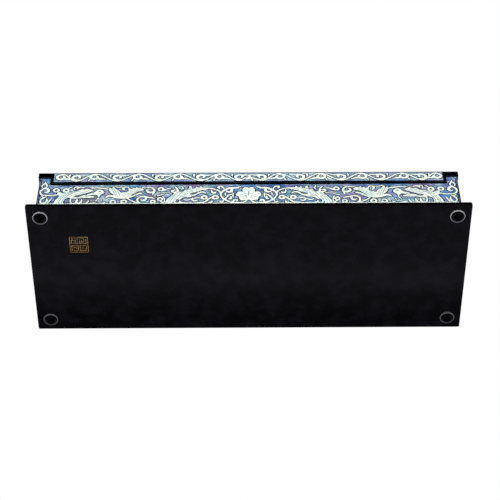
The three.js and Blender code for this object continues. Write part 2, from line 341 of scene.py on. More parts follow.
def dull_gold():
    """Old gold paint, worn thin in places."""
    finish = Finish("dull_gold", Specular_IOR_Level=0.4)
    wear = finish.noise(finish.spot(), 700.0, 4.0, 0.6)
    thick = finish.fade(wear, 0.35, 0.66)
    finish.set("Base Color", finish.mix(thick, (0.130, 0.070, 0.022), (0.620, 0.390, 0.150)))
    finish.set("Metallic", 0.15 + 0.25 * thick)
    finish.set("Roughness", 0.62 - 0.18 * thick)
    finish.bump(wear, 0.3, 0.00005)
    return finish.material


def red_felt():
    """Short wine red pile with flecks and a soft nap."""
    finish = Finish("red_felt", Specular_IOR_Level=0.2, Sheen_Weight=0.35, Sheen_Roughness=0.5,
                    Sheen_Tint=(0.75, 0.25, 0.28))
    where = finish.spot()
    pile = finish.noise(where, 2600.0, 4.0, 0.7)
    nap = finish.noise(where, 70.0, 3.0)
    fibre = finish.cells(finish.spot((1300.0, 1300.0, 1300.0)))
    colour = finish.mix(finish.fade(nap, 0.3, 0.7), (0.150, 0.008, 0.018), (0.235, 0.014, 0.028))
    finish.set("Base Color", finish.mix(finish.fade(pile, 0.35, 0.7) * 0.6, colour, (0.36, 0.035, 0.05)))
    finish.set("Roughness", 0.86 + 0.1 * pile)
    finish.bump(pile + fibre * 0.6, 0.7, 0.0003)
    return finish.material


def satin_brass():
    """Brushed brass, a little darker where it has been handled."""
    finish = Finish("satin_brass", Specular_IOR_Level=0.5, Metallic=0.75)
    brush = finish.noise(finish.spot((160.0, 6000.0, 6000.0)), 1.0, 3.0, 0.6)
    age = finish.fade(finish.noise(finish.spot(), 160.0, 4.0), 0.42, 0.7)
    finish.set("Base Color", finish.mix(age, (0.88, 0.66, 0.31), (0.62, 0.41, 0.17)))
    finish.set("Roughness", 0.24 + 0.12 * brush + 0.16 * age)
    finish.bump(brush, 0.2, 0.00005)
    return finish.material


# The painted highlight line round each foot's rim, from its middle, in millimetres

PAINTED_RIM_HIGHLIGHT = (3.94, 4.02)


def foot_rubber():
    """Smooth dark rubber with a painted highlight line round its rim, that painted highlight dimmer at the
    back as painted shade.
    """
    finish = Finish("foot_rubber", Specular_IOR_Level=0.18)
    where = finish.spot()
    across = abs(abs(finish.split(where, "X")) - FOOT_PLACE.x * MM)
    along = abs(abs(finish.split(where, "Y")) - FOOT_PLACE.y * MM)
    reach = (across ** 2.0 + along ** 2.0) ** 0.5
    # Painted highlight: the pale rim stands in for light caught in the edge of a clear bumper.
    rim = finish.fade(reach, PAINTED_RIM_HIGHLIGHT[0] * MM, PAINTED_RIM_HIGHLIGHT[1] * MM)
    # Painted shade: the painted rim highlight is dimmer on the feet at the back, where less light falls.
    back = finish.fade(finish.split(where, "Y"), -0.03, 0.03)
    pale = finish.mix(back, (0.38, 0.38, 0.41), (0.14, 0.14, 0.155))
    dust = finish.noise(where, 900.0, 4.0, 0.6)
    dark = finish.mix(dust, (0.0006, 0.0006, 0.0008), (0.002, 0.002, 0.0025))
    finish.set("Base Color", finish.mix(rim, dark, pale))
    finish.set("Roughness", 0.2 + 0.2 * dust)
    finish.bump(dust, 0.15, 0.00006)
    return finish.material


LACQUER = black_lacquer()
GROUND = shell_ground("shell_ground", 0.0)
STRIP_GROUND = shell_ground("strip_ground", 0.13)
SHELL = shell_figures()
OUTLINE = outline_lacquer()
ENGRAVED = engraving()
GOLD = dull_gold()
FELT = red_felt()
BRASS = satin_brass()
RUBBER = foot_rubber()


# Making and placing pieces

MERGE, COPY_MERGE = 0.001, 0.002
SHARP, FLAT = math.radians(32.0), math.radians(1.0)
CROWN_SEGMENTS = 5
TO_TOP = 0.01


def finished(mesh, name, material, body):
    """Puts a mesh in the scene as a piece that rides on a body."""
    piece = bpy.data.objects.new(name, mesh)
    bpy.context.scene.collection.objects.link(piece)
    mesh.materials.clear()
    mesh.materials.append(material)
    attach(piece, body)
    return piece


def as_mesh(bm, name, smooth=True):
    """The mesh of a bmesh, which is then freed."""
    mesh = bpy.data.meshes.new(name)
    bm.to_mesh(mesh)
    bm.free()
    for face in mesh.polygons:
        face.use_smooth = smooth
    return mesh


def sharp_edges(bm):
    """The edges that a maker's hand would ease."""
    return [edge for edge in bm.edges if edge.is_manifold and edge.calc_face_angle() > SHARP]


def round_off(bm, edges, width, segments):
    bmesh.ops.bevel(bm, geom=edges, offset=width * MM, offset_type="OFFSET", segments=segments,
                    profile=0.5, affect="EDGES", material=-1, clamp_overlap=True)


def softened(node, width, material, body, segments=2, crown=0.0):
    """A merged copy of a CAD node in its place, sharp edges rounded by width, those of its top by crown."""
    bm = bmesh.new()
    bm.from_mesh(nodes[node].data)
    bmesh.ops.remove_doubles(bm, verts=bm.verts, dist=COPY_MERGE * MM)
    bmesh.ops.dissolve_limit(bm, angle_limit=FLAT, verts=bm.verts, edges=bm.edges)
    if crown:
        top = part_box(node)[1].z - TO_TOP * MM
        top_edges = [edge for edge in sharp_edges(bm) if min(vert.co.z for vert in edge.verts) > top]
        round_off(bm, top_edges, crown, CROWN_SEGMENTS)
    round_off(bm, sharp_edges(bm), width, segments)
    piece = finished(as_mesh(bm, node + "_soft"), node + "_soft", material, body)
    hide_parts(node)
    shading = piece.modifiers.new("even shading", "WEIGHTED_NORMAL")
    shading.keep_sharp = True
    shading.weight = 90
    return piece


# Places of the inlaid panels: each maps (along, up, out) in millimetres to the part's frame


def panel_place(origin, along, up, out):
    """The matrix that lays flat shapes on a panel."""
    rows = [[along[i], up[i], out[i], origin[i] * MM] for i in range(3)]
    return Matrix(rows + [[0.0, 0.0, 0.0, 1.0]])


FRONT = panel_place((0.0, FRONT_Y, 0.0), (1, 0, 0), (0, 0, 1), (0, -1, 0))
STRIP = panel_place((0.0, STRIP_Y, 0.0), (1, 0, 0), (0, 0, 1), (0, -1, 0))
BACK = panel_place((0.0, BACK_Y, 0.0), (-1, 0, 0), (0, 0, 1), (0, 1, 0))
LEFT = panel_place((LEFT_X, 0.0, 0.0), (0, -1, 0), (0, 0, 1), (-1, 0, 0))
RIGHT = panel_place((RIGHT_X, 0.0, 0.0), (0, 1, 0), (0, 0, 1), (1, 0, 0))


# Shapes on a panel: a stroke is a list of (along, up, half width), an outline a list of (along, up)


def moved(shapes, along=0.0, up=0.0, stretch=(1.0, 1.0)):
    """Strokes or outlines stretched, then moved along and up their panel."""
    wide, high = stretch
    return [[(u * wide + along, v * high + up, *half) for u, v, *half in shape] for shape in shapes]


def both_halves(shapes):
    """The shapes and their mirror images."""
    return shapes + moved(shapes, stretch=(-1.0, 1.0))


def fourfold(shapes):
    """The shapes of one quarter of a panel, mirrored to all four."""
    halves = both_halves(shapes)
    return halves + moved(halves, stretch=(1.0, -1.0))


def polar(u, v, reach, angle):
    """The point at a reach and an angle from a place."""
    return u + reach * math.cos(angle), v + reach * math.sin(angle)


def wound(u, v, start, sweep, step_angle, reach_at, half_at):
    """Points round a place, with reach and half width by the part of the way gone; angles in degrees."""
    steps = max(4, round(abs(sweep) / step_angle))
    points = []
    for step in range(steps + 1):
        part = step / steps
        points.append((*polar(u, v, reach_at(part), math.radians(start + sweep * part)), half_at(part)))
    return points


RING_STEP = 36.0


def ring(u, v, reach, start, sweep, head, tail):
    """A round comma: a thick head and a thinner tail round an open eye."""
    return wound(u, v, start, sweep, RING_STEP, lambda part: reach, lambda part: head + (tail - head) * part)


# A comma's turn in degrees, its tail's half width, how it shrinks and grows, and its head's reach and width

CURL_START, CURL_SWEEP, CURL_STEP = 180.0, 400.0, 40.0
CURL_TAIL, CURL_SHRINK, CURL_GROWTH = 0.22, 0.58, 1.35
CURL_HEAD = (0.6, 0.5)


def curl(u, v, radius, side, width):
    """A comma that winds in from its thin tail to a round head."""
    sweep = -side * CURL_SWEEP

    def reach_at(part):
        return radius * (1.0 - CURL_SHRINK * part)

    def half_at(part):
        return CURL_TAIL + (width - CURL_TAIL) * math.sin(min(part * CURL_GROWTH, 1.0) * math.pi / 2.0)

    points = wound(u, v, CURL_START, sweep, CURL_STEP, reach_at, half_at)
    head = polar(u, v, reach_at(1.0) * CURL_HEAD[0], math.radians(CURL_START + sweep))
    return points + [(*head, width * CURL_HEAD[1])]


# Where a vine's parts lie from the middle of each bay: (part of its pitch along, part of its swing across)

COMMA_PLACE = (0.12, 0.12)
TAIL_PLACE = (-0.5, -0.1)
BUD_PLACE = (-0.48, 0.95)

# Half widths of a vine's stem at its start, its bends and between them, and of its tails, as parts of width

STEM_START, STEM_BEND, STEM_BETWEEN, TAIL_PART = 0.5, 0.75, 0.62, 0.3


def bud(side, width):
    """A small bud along a band."""
    return [(-0.8, 0.0, 0.15), (0.0, 0.1 * side, width * 0.8), (0.9, -0.5 * side, 0.2)]


def scroll_vine(first, pitch, count, middle, swing, radius, width):
    """A stem that waves along a band, with a comma curling into every bay and a bud before it."""
    strokes = []
    stem = [(first - 0.5 * pitch, middle, width * STEM_START)]
    for number in range(count):
        u = first + pitch * number
        side = 1.0 if number % 2 == 0 else -1.0
        stem.append((u, middle - side * swing, width * STEM_BEND))
        if number + 1 < count:
            stem.append((u + 0.5 * pitch, middle, width * STEM_BETWEEN))
        eye, tail, bud_foot = ((u + along * pitch, middle + side * across * swing)
                               for along, across in (COMMA_PLACE, TAIL_PLACE, BUD_PLACE))
        strokes.append([(*tail, width * TAIL_PART)] + curl(*eye, radius, side, width))
        strokes += moved([bud(side, width)], *bud_foot)
    return strokes + [stem]


def level_line(reach, v, half):
    """A straight line along a panel."""
    return [(-reach, v, half), (0.0, v, half), (reach, v, half)]


# The height of an upright line's middle point

LINE_MIDDLE = 20.0


def upright_lines(reach, low, high, half, swell=0.0):
    """A straight line up each end of a panel, wider at its middle by swell."""
    return [[(u, low, half), (u, LINE_MIDDLE, half + swell), (u, high, half)] for u in (-reach, reach)]


# The tip of a stroke: how far past its last point, and how wide, both as parts of its half width there

TIP = ((0.65, 0.76), (1.0, 0.12))


def round_ended(stroke, swell):
    """The points of a stroke with their radii, and a round tip at each open end."""
    points = [(u, v, half + swell) for u, v, half in stroke]
    if stroke[0][:2] == stroke[-1][:2]:
        return points
    for _ in range(2):
        (u, v, radius), (before_u, before_v, _before) = points[-1], points[-2]
        gap = math.hypot(u - before_u, v - before_v)
        along, up = (u - before_u) / gap * radius, (v - before_v) / gap * radius
        points += [(u + along * reach, v + up * reach, radius * part) for reach, part in TIP]
        points.reverse()
    return points


# Laying shapes on a panel


def new_curve(name, **settings):
    """A curve with its settings."""
    curve = bpy.data.curves.new(name, "CURVE")
    for key, item in settings.items():
        setattr(curve, key, item)
    return curve


def add_spline(curve, points, closed=False):
    """A smooth spline through points, each with its radius."""
    spline = curve.splines.new("BEZIER")
    spline.bezier_points.add(len(points) - 1)
    spline.use_cyclic_u = closed
    for point, (u, v, radius) in zip(spline.bezier_points, points):
        point.co = (u * MM, v * MM, 0.0)
        point.radius = radius
        point.handle_left_type = "AUTO"
        point.handle_right_type = "AUTO"


def add_surface(bm, curve):
    """Adds a curve's surface to a mesh, and takes the curve out of the scene."""
    holder = bpy.data.objects.new(curve.name + "_curve", curve)
    bpy.context.scene.collection.objects.link(holder)
    bpy.context.view_layer.update()
    graph = bpy.context.evaluated_depsgraph_get()
    mesh = bpy.data.meshes.new_from_object(holder.evaluated_get(graph))
    bm.from_mesh(mesh)
    bpy.data.objects.remove(holder)
    bpy.data.meshes.remove(mesh)


def press(bm, top, rise=ROD_RISE):
    """Flattens round rods: their heights draw near to the top without crossing it."""
    for vertex in bm.verts:
        height = abs(vertex.co.z) * rise / (top * MM)
        vertex.co.z = math.copysign(top * MM * (1.0 - math.exp(-height)), vertex.co.z)


def laid(bm, name, place, body, material, smooth=True):
    """Moves a flat layer onto its panel and makes it a piece."""
    bmesh.ops.remove_doubles(bm, verts=bm.verts, dist=MERGE * MM)
    bmesh.ops.transform(bm, matrix=place, verts=bm.verts)
    bmesh.ops.recalc_face_normals(bm, faces=bm.faces)
    return finished(as_mesh(bm, name, smooth), name, material, body)


def shell_strokes(name, strokes, place, body, material, swell=0.0, top=SHELL_TOP, rise=ROD_RISE):
    """All the strokes of a panel as one piece: tapered rods pressed almost flat into the sheet."""
    curve = new_curve(name, dimensions="3D", bevel_depth=MM, bevel_resolution=1, resolution_u=3,
                      use_fill_caps=True)
    for stroke in strokes:
        add_spline(curve, round_ended(stroke, swell))
    bm = bmesh.new()
    add_surface(bm, curve)
    press(bm, top, rise)
    laid(bm, name, place, body, material)


# A plate's straight side and its bevel, as parts of its height, and half the width of the line round it

PLATE_SIDE, PLATE_BEVEL = 0.4, 0.6
PLATE_RIM = 0.12


def shell_plates(name, outlines, place, body, material):
    """Flat pieces of shell cut to closed outlines, with bevelled edges."""
    bm = bmesh.new()
    for outline in outlines:
        curve = new_curve(name, dimensions="2D", fill_mode="BOTH", extrude=SHELL_TOP * PLATE_SIDE * MM,
                          bevel_depth=SHELL_TOP * PLATE_BEVEL * MM, bevel_resolution=0, resolution_u=4)
        add_spline(curve, [(u, v, 1.0) for u, v in outline], closed=True)
        add_surface(bm, curve)
    laid(bm, name, place, body, material, smooth=False)


def inlay(name, strokes, plates, cuts, place, body, swell=FIGURE_SWELL):
    """Bright strokes and plates over a wider, lower layer of dark lacquer, with cuts in their faces."""
    rims = [[(u, v, PLATE_RIM) for u, v in plate + plate[:1]] for plate in plates]
    wider = swell + OUTLINE_MARGIN
    shell_strokes(name + "_outline", strokes + rims, place, body, OUTLINE, wider, OUTLINE_TOP)
    shell_strokes(name + "_figures", strokes, place, body, SHELL, swell)
    if plates:
        shell_plates(name + "_plates", plates, place, body, SHELL)
    if cuts:
        shell_strokes(name + "_cuts", cuts, place, body, ENGRAVED, CUT_SWELL, CUT_TOP, CUT_RISE)


# The front, one half of it

FLOWER_FRAME = [
    [(4.6, 28.0, 0.12), (6.4, 26.8, 0.7), (8.6, 26.4, 0.8), (11.0, 26.2, 0.95), (12.8, 25.4, 0.85),
     (14.3, 24.3, 0.7), (15.6, 22.9, 0.6), (16.5, 21.2, 0.65), (16.4, 19.2, 0.55), (15.7, 17.4, 0.52),
     (14.6, 15.8, 0.58), (13.2, 14.4, 0.65), (11.5, 13.2, 0.6), (9.4, 12.5, 0.55), (6.8, 12.3, 0.5),
     (4.0, 12.4, 0.5), (2.2, 13.2, 0.4), (1.2, 14.0, 0.15)],
    [(16.4, 21.0, 0.4), (17.0, 22.8, 0.55), (18.0, 24.0, 0.55), (19.6, 25.0, 0.5), (21.6, 25.8, 0.45),
     (24.4, 26.3, 0.4)],
    [(14.4, 25.0, 0.25), (15.0, 26.4, 0.42), (15.9, 27.7, 0.55), (17.0, 28.0, 0.65), (17.9, 27.3, 0.75),
     (17.8, 26.4, 0.5), (17.2, 26.0, 0.25)],
    [(10.2, 25.6, 0.7), (9.9, 24.2, 0.9), (10.6, 22.9, 0.9), (11.9, 22.5, 0.75), (13.0, 23.1, 0.5),
     (13.5, 24.0, 0.25)],
    [(9.9, 20.4, 0.25), (11.3, 19.7, 0.5), (12.5, 18.4, 0.55), (13.3, 17.0, 0.5), (13.8, 15.6, 0.35)],
    [(10.6, 18.4, 0.3), (10.4, 17.2, 0.65), (10.8, 16.1, 0.8), (11.5, 16.0, 0.5)],
    [(8.9, 12.6, 0.45), (9.1, 13.7, 0.5), (8.4, 14.8, 0.65), (7.3, 15.0, 0.6), (6.7, 14.2, 0.5),
     (7.2, 13.7, 0.25)],
    [(9.3, 21.6, 0.15), (9.2, 20.0, 0.3), (9.4, 18.6, 0.3), (9.1, 17.2, 0.12)],
    [(22.0, 24.4, 0.25), (21.9, 23.2, 0.5), (21.2, 21.9, 0.75), (20.1, 21.6, 0.7), (19.5, 22.4, 0.4)],
    [(14.9, 14.7, 0.3), (15.2, 13.4, 0.45), (16.2, 12.7, 0.65), (17.0, 13.4, 0.3)],
    [(13.5, 21.6, 0.2), (13.9, 20.4, 0.45), (13.7, 19.2, 0.2)],
]

SCROLLS = [
    ring(19.6, 17.4, 1.5, 200, 330, 0.75, 0.5),
    ring(26.2, 17.3, 1.45, 140, -340, 0.72, 0.6),
    [(21.4, 17.9, 0.5), (22.6, 16.7, 0.55), (23.9, 15.5, 0.52), (24.9, 14.1, 0.55), (26.4, 12.9, 0.6),
     (29.0, 12.4, 0.55), (31.8, 12.1, 0.4)],
    [(21.5, 14.1, 0.2), (21.8, 13.2, 0.55), (22.4, 12.5, 0.65), (23.4, 12.5, 0.35)],
    [(30.5, 14.6, 0.3), (31.6, 14.1, 0.55), (32.7, 14.4, 0.6), (33.3, 15.4, 0.5), (33.1, 16.8, 0.25)],
    [(28.0, 16.6, 0.15), (29.8, 17.0, 0.4), (31.6, 16.6, 0.4), (32.8, 16.2, 0.2)],
    [(33.8, 16.0, 0.2), (35.2, 15.2, 0.42), (36.8, 14.9, 0.45), (38.0, 15.4, 0.3)],
    [(33.4, 12.0, 0.2), (36.5, 12.1, 0.4), (38.8, 12.3, 0.5), (40.3, 12.9, 0.72), (40.6, 14.1, 0.35)],
    [(40.5, 13.0, 0.5), (41.5, 12.0, 0.55), (42.9, 12.1, 0.5), (43.6, 13.2, 0.45), (43.2, 14.4, 0.2)],
    [(42.0, 22.4, 0.45), (42.1, 24.2, 0.55), (42.4, 25.6, 0.55), (43.0, 26.8, 0.5), (43.8, 27.8, 0.22)],
    [(43.0, 24.3, 0.3), (44.2, 24.5, 0.5), (45.3, 23.9, 0.72), (45.4, 23.1, 0.6), (44.4, 22.6, 0.6),
     (43.0, 22.4, 0.5)],
    [(39.9, 28.3, 0.2), (39.3, 27.2, 0.52), (39.1, 26.0, 0.55), (39.8, 25.2, 0.25)],
    [(46.0, 26.6, 0.2), (47.5, 26.0, 0.5), (49.0, 25.0, 0.58), (50.2, 24.3, 0.5), (51.6, 23.9, 0.35)],
    ring(52.0, 25.4, 1.45, 215, -310, 0.8, 0.42),
    [(45.6, 21.4, 0.22), (48.4, 22.0, 0.28), (51.6, 21.6, 0.2)],
    [(49.8, 20.6, 0.15), (52.2, 19.7, 0.32), (54.0, 19.2, 0.32)],
    [(50.9, 18.8, 0.12), (49.9, 16.8, 0.3), (49.6, 14.4, 0.32), (50.0, 12.2, 0.2)],
    ring(52.2, 15.8, 1.3, 165, -320, 0.62, 0.4),
    [(50.0, 11.8, 0.35), (50.7, 12.8, 0.5), (51.7, 13.7, 0.42)],
    ring(56.4, 13.4, 1.25, 120, 340, 0.56, 0.52),
    [(56.9, 19.7, 0.12), (56.5, 21.2, 0.5), (56.0, 22.9, 0.8), (56.0, 24.6, 0.75), (56.6, 26.1, 0.6),
     (57.9, 27.0, 0.5), (59.6, 27.2, 0.4), (61.4, 26.9, 0.3), (63.0, 27.2, 0.15)],
    [(56.6, 22.8, 0.6), (58.0, 22.3, 0.85), (59.4, 22.8, 0.95), (60.2, 24.0, 0.85), (59.9, 25.2, 0.6),
     (59.1, 25.4, 0.3)],
    [(55.6, 16.6, 0.2), (57.6, 17.2, 0.55), (59.6, 17.7, 0.65), (61.8, 18.4, 0.7), (63.8, 18.0, 0.65),
     (65.2, 16.8, 0.6), (65.6, 15.2, 0.58), (65.1, 13.6, 0.52), (64.0, 12.2, 0.42)],
    [(60.8, 17.8, 0.6), (60.5, 16.4, 0.78), (61.1, 15.1, 0.85), (62.4, 14.7, 0.75), (63.3, 15.2, 0.35)],
    [(71.9, 17.4, 0.35), (70.8, 16.0, 0.45), (68.8, 14.3, 0.5), (66.6, 13.0, 0.46), (64.4, 12.0, 0.35)],
    [(71.0, 25.2, 0.3), (71.0, 26.6, 0.35), (72.0, 27.6, 0.4), (73.4, 27.4, 0.58), (74.2, 26.4, 0.78),
     (74.1, 25.1, 0.78), (73.4, 24.6, 0.35)],
    [(75.0, 27.5, 0.25), (76.8, 27.5, 0.35), (78.4, 27.8, 0.3), (79.6, 28.5, 0.15)],
    ring(73.4, 13.5, 1.5, 150, 340, 0.6, 0.66),
    ring(79.8, 13.3, 1.5, 150, -300, 0.5, 0.72),
    [(84.4, 13.2, 0.3), (85.1, 12.5, 0.75), (86.0, 12.2, 0.4)],
    [(88.2, 17.3, 0.2), (88.7, 16.8, 0.52), (89.2, 16.3, 0.3)],
    [(89.3, 15.6, 0.15), (89.8, 14.9, 0.38), (90.1, 14.2, 0.15)],
    [(86.2, 15.6, 0.15), (86.6, 15.1, 0.3), (86.9, 14.6, 0.15)],
    [(89.4, 12.2, 0.3), (91.4, 12.5, 0.4), (93.2, 12.2, 0.3)],
    [(94.2, 14.5, 0.35), (94.8, 13.2, 0.58), (95.6, 11.9, 0.45)],
    [(98.3, 15.6, 0.25), (98.3, 14.2, 0.6), (98.9, 12.9, 0.7), (99.9, 12.1, 0.5), (100.6, 12.9, 0.25)],
    [(100.9, 15.6, 0.3), (101.2, 14.4, 0.65), (101.5, 13.0, 0.7), (102.5, 12.0, 0.62), (103.9, 12.0, 0.52),
     (104.7, 13.2, 0.4)],
    [(83.0, 25.5, 0.25), (85.0, 26.3, 0.62), (87.0, 26.6, 0.62), (89.2, 27.0, 0.55), (91.4, 26.8, 0.42),
     (93.0, 26.3, 0.2)],
    [(97.6, 27.2, 0.25), (99.2, 27.7, 0.55), (100.8, 27.4, 0.78), (101.5, 26.6, 0.6), (101.3, 25.8, 0.25)],
    [(101.6, 28.2, 0.25), (102.9, 27.6, 0.42), (103.4, 26.4, 0.45), (103.0, 25.2, 0.3)],
    [(91.8, 27.6, 0.15), (93.2, 27.2, 0.3), (94.4, 26.9, 0.15)],
    [(104.6, 28.1, 0.15), (105.8, 27.4, 0.42), (106.6, 26.6, 0.3)],
    ring(108.1, 24.6, 1.5, 170, -330, 0.66, 0.66),
    ring(113.9, 24.8, 1.5, 185, -330, 0.66, 0.56),
]

END_GAIN = 0.05
END_SCROLLS = [
    [(121.2, 32.9, 0.15), (120.8, 31.4, 0.4), (120.2, 30.2, 0.46), (119.8, 29.0, 0.45),
     (120.0, 28.0, 0.28)],
    [(121.4, 31.4, 0.3), (122.2, 30.3, 0.5), (122.7, 29.0, 0.45), (122.4, 27.8, 0.22)],
    [(120.2, 27.7, 0.35), (121.2, 26.7, 0.5), (122.5, 25.4, 0.52), (123.2, 23.7, 0.5), (123.0, 21.9, 0.5),
     (122.1, 20.5, 0.46), (120.9, 19.8, 0.35)],
    [(121.0, 26.7, 0.45), (119.6, 26.3, 0.72), (118.6, 25.1, 0.88), (118.6, 23.8, 0.88),
     (119.6, 22.8, 0.65), (120.7, 23.1, 0.3)],
    [(119.4, 18.6, 0.2), (120.6, 17.7, 0.45), (121.8, 16.4, 0.48), (122.4, 14.8, 0.45), (122.2, 13.2, 0.46),
     (121.2, 11.9, 0.45)],
    [(118.9, 16.6, 0.35), (118.7, 15.2, 0.62), (119.0, 13.8, 0.68), (120.0, 12.6, 0.62),
     (121.2, 12.4, 0.4)],
    [(120.8, 17.9, 0.3), (122.2, 18.9, 0.2)],
    [(116.1, 16.8, 0.2), (116.9, 15.2, 0.42), (117.6, 13.6, 0.42), (118.2, 12.3, 0.25)],
    [(112.4, 20.6, 0.5), (114.6, 20.1, 0.45), (117.4, 19.7, 0.42), (120.0, 19.8, 0.35)],
    [(104.2, 18.2, 0.5), (104.7, 16.4, 0.45), (104.9, 14.6, 0.4), (104.6, 13.2, 0.35)],
]

PLUME = [
    (24.2, 25.9), (26.0, 26.6), (27.4, 26.8), (28.3, 28.0), (29.0, 26.9), (30.2, 26.8), (31.0, 27.6),
    (31.8, 26.4), (33.2, 26.1), (34.6, 28.4), (35.4, 26.4), (36.0, 25.2), (37.6, 24.6), (39.0, 23.2),
    (40.4, 22.8), (41.8, 23.2), (43.0, 22.9), (44.0, 21.4), (45.1, 19.6), (46.6, 17.8), (47.8, 16.0),
    (48.7, 14.2), (49.2, 12.4), (49.2, 11.0), (45.3, 11.0), (44.6, 12.6), (43.6, 14.2), (42.2, 15.6),
    (40.9, 15.3), (39.8, 16.2), (38.6, 17.3), (37.2, 17.8), (35.6, 17.6), (34.2, 18.1), (33.0, 18.6),
    (31.6, 19.2), (30.4, 20.3), (29.2, 21.3), (27.4, 21.9), (25.2, 21.2), (26.2, 22.4), (28.0, 22.9),
    (29.8, 22.2), (31.2, 21.0), (32.4, 20.2), (33.8, 20.1), (35.0, 20.6), (34.4, 21.6), (33.0, 21.9),
    (31.4, 22.3), (29.8, 23.3), (28.0, 24.1), (26.2, 24.7), (24.6, 25.2),
]

WING = [
    (62.3, 25.6), (63.8, 26.5), (65.2, 26.3), (66.5, 27.4), (67.2, 26.2), (68.5, 27.0), (69.0, 25.7),
    (70.1, 26.0), (70.7, 24.9), (71.3, 23.8), (72.6, 22.9), (74.2, 22.3), (75.6, 22.3), (76.4, 23.6),
    (77.6, 24.9), (79.0, 26.0), (80.5, 28.0), (80.9, 26.3), (82.5, 26.9), (82.6, 24.8), (82.0, 22.9),
    (81.0, 21.5), (80.0, 20.5), (79.8, 19.8), (81.2, 20.1), (82.8, 19.8), (84.0, 18.7), (84.4, 17.4),
    (83.2, 17.9), (81.8, 18.5), (80.2, 17.8), (78.2, 16.9), (76.2, 16.5), (74.0, 16.5), (71.8, 16.8),
    (70.4, 17.2), (69.0, 17.8), (67.2, 19.0), (65.2, 20.4), (63.0, 21.5), (64.4, 22.1), (66.2, 21.3),
    (68.0, 20.1), (69.6, 19.1), (69.5, 19.8), (68.0, 21.1), (66.6, 22.4), (65.4, 23.3), (64.0, 23.9),
    (62.4, 24.3),
]

HEAD = [
    (88.4, 18.2), (87.5, 20.2), (86.2, 21.2), (85.5, 22.4), (85.9, 23.8), (87.1, 24.9), (88.8, 25.1),
    (90.0, 24.3), (90.8, 23.0), (92.2, 21.9), (94.0, 21.2), (95.4, 20.6), (93.6, 20.1), (91.6, 20.2),
    (90.2, 20.3), (89.3, 19.5),
]

FAR_WING = [
    (92.4, 24.4), (94.0, 25.3), (95.4, 26.2), (97.0, 25.4), (98.8, 25.7), (100.4, 24.8), (102.2, 23.8),
    (104.0, 23.5), (105.8, 22.8), (107.6, 22.2), (109.2, 21.7), (110.4, 22.2), (111.8, 23.0), (112.9, 22.3),
    (112.7, 20.8), (112.0, 19.4), (112.3, 17.8), (113.2, 16.2), (114.0, 14.2), (114.5, 12.0), (114.4, 11.0),
    (109.2, 11.0), (109.1, 13.0), (108.6, 15.2), (107.6, 16.9), (106.0, 17.4), (104.6, 17.3), (103.0, 16.5),
    (101.0, 16.8), (99.0, 17.2), (97.0, 17.5), (94.8, 17.4), (92.4, 17.5), (91.0, 18.2), (92.6, 19.0),
    (94.8, 19.5), (96.6, 19.8), (98.4, 19.2), (100.2, 18.3), (102.0, 18.0), (103.1, 18.7), (102.2, 19.6),
    (100.4, 20.1), (98.6, 20.9), (96.6, 21.8), (94.8, 22.7), (93.2, 23.5),
]

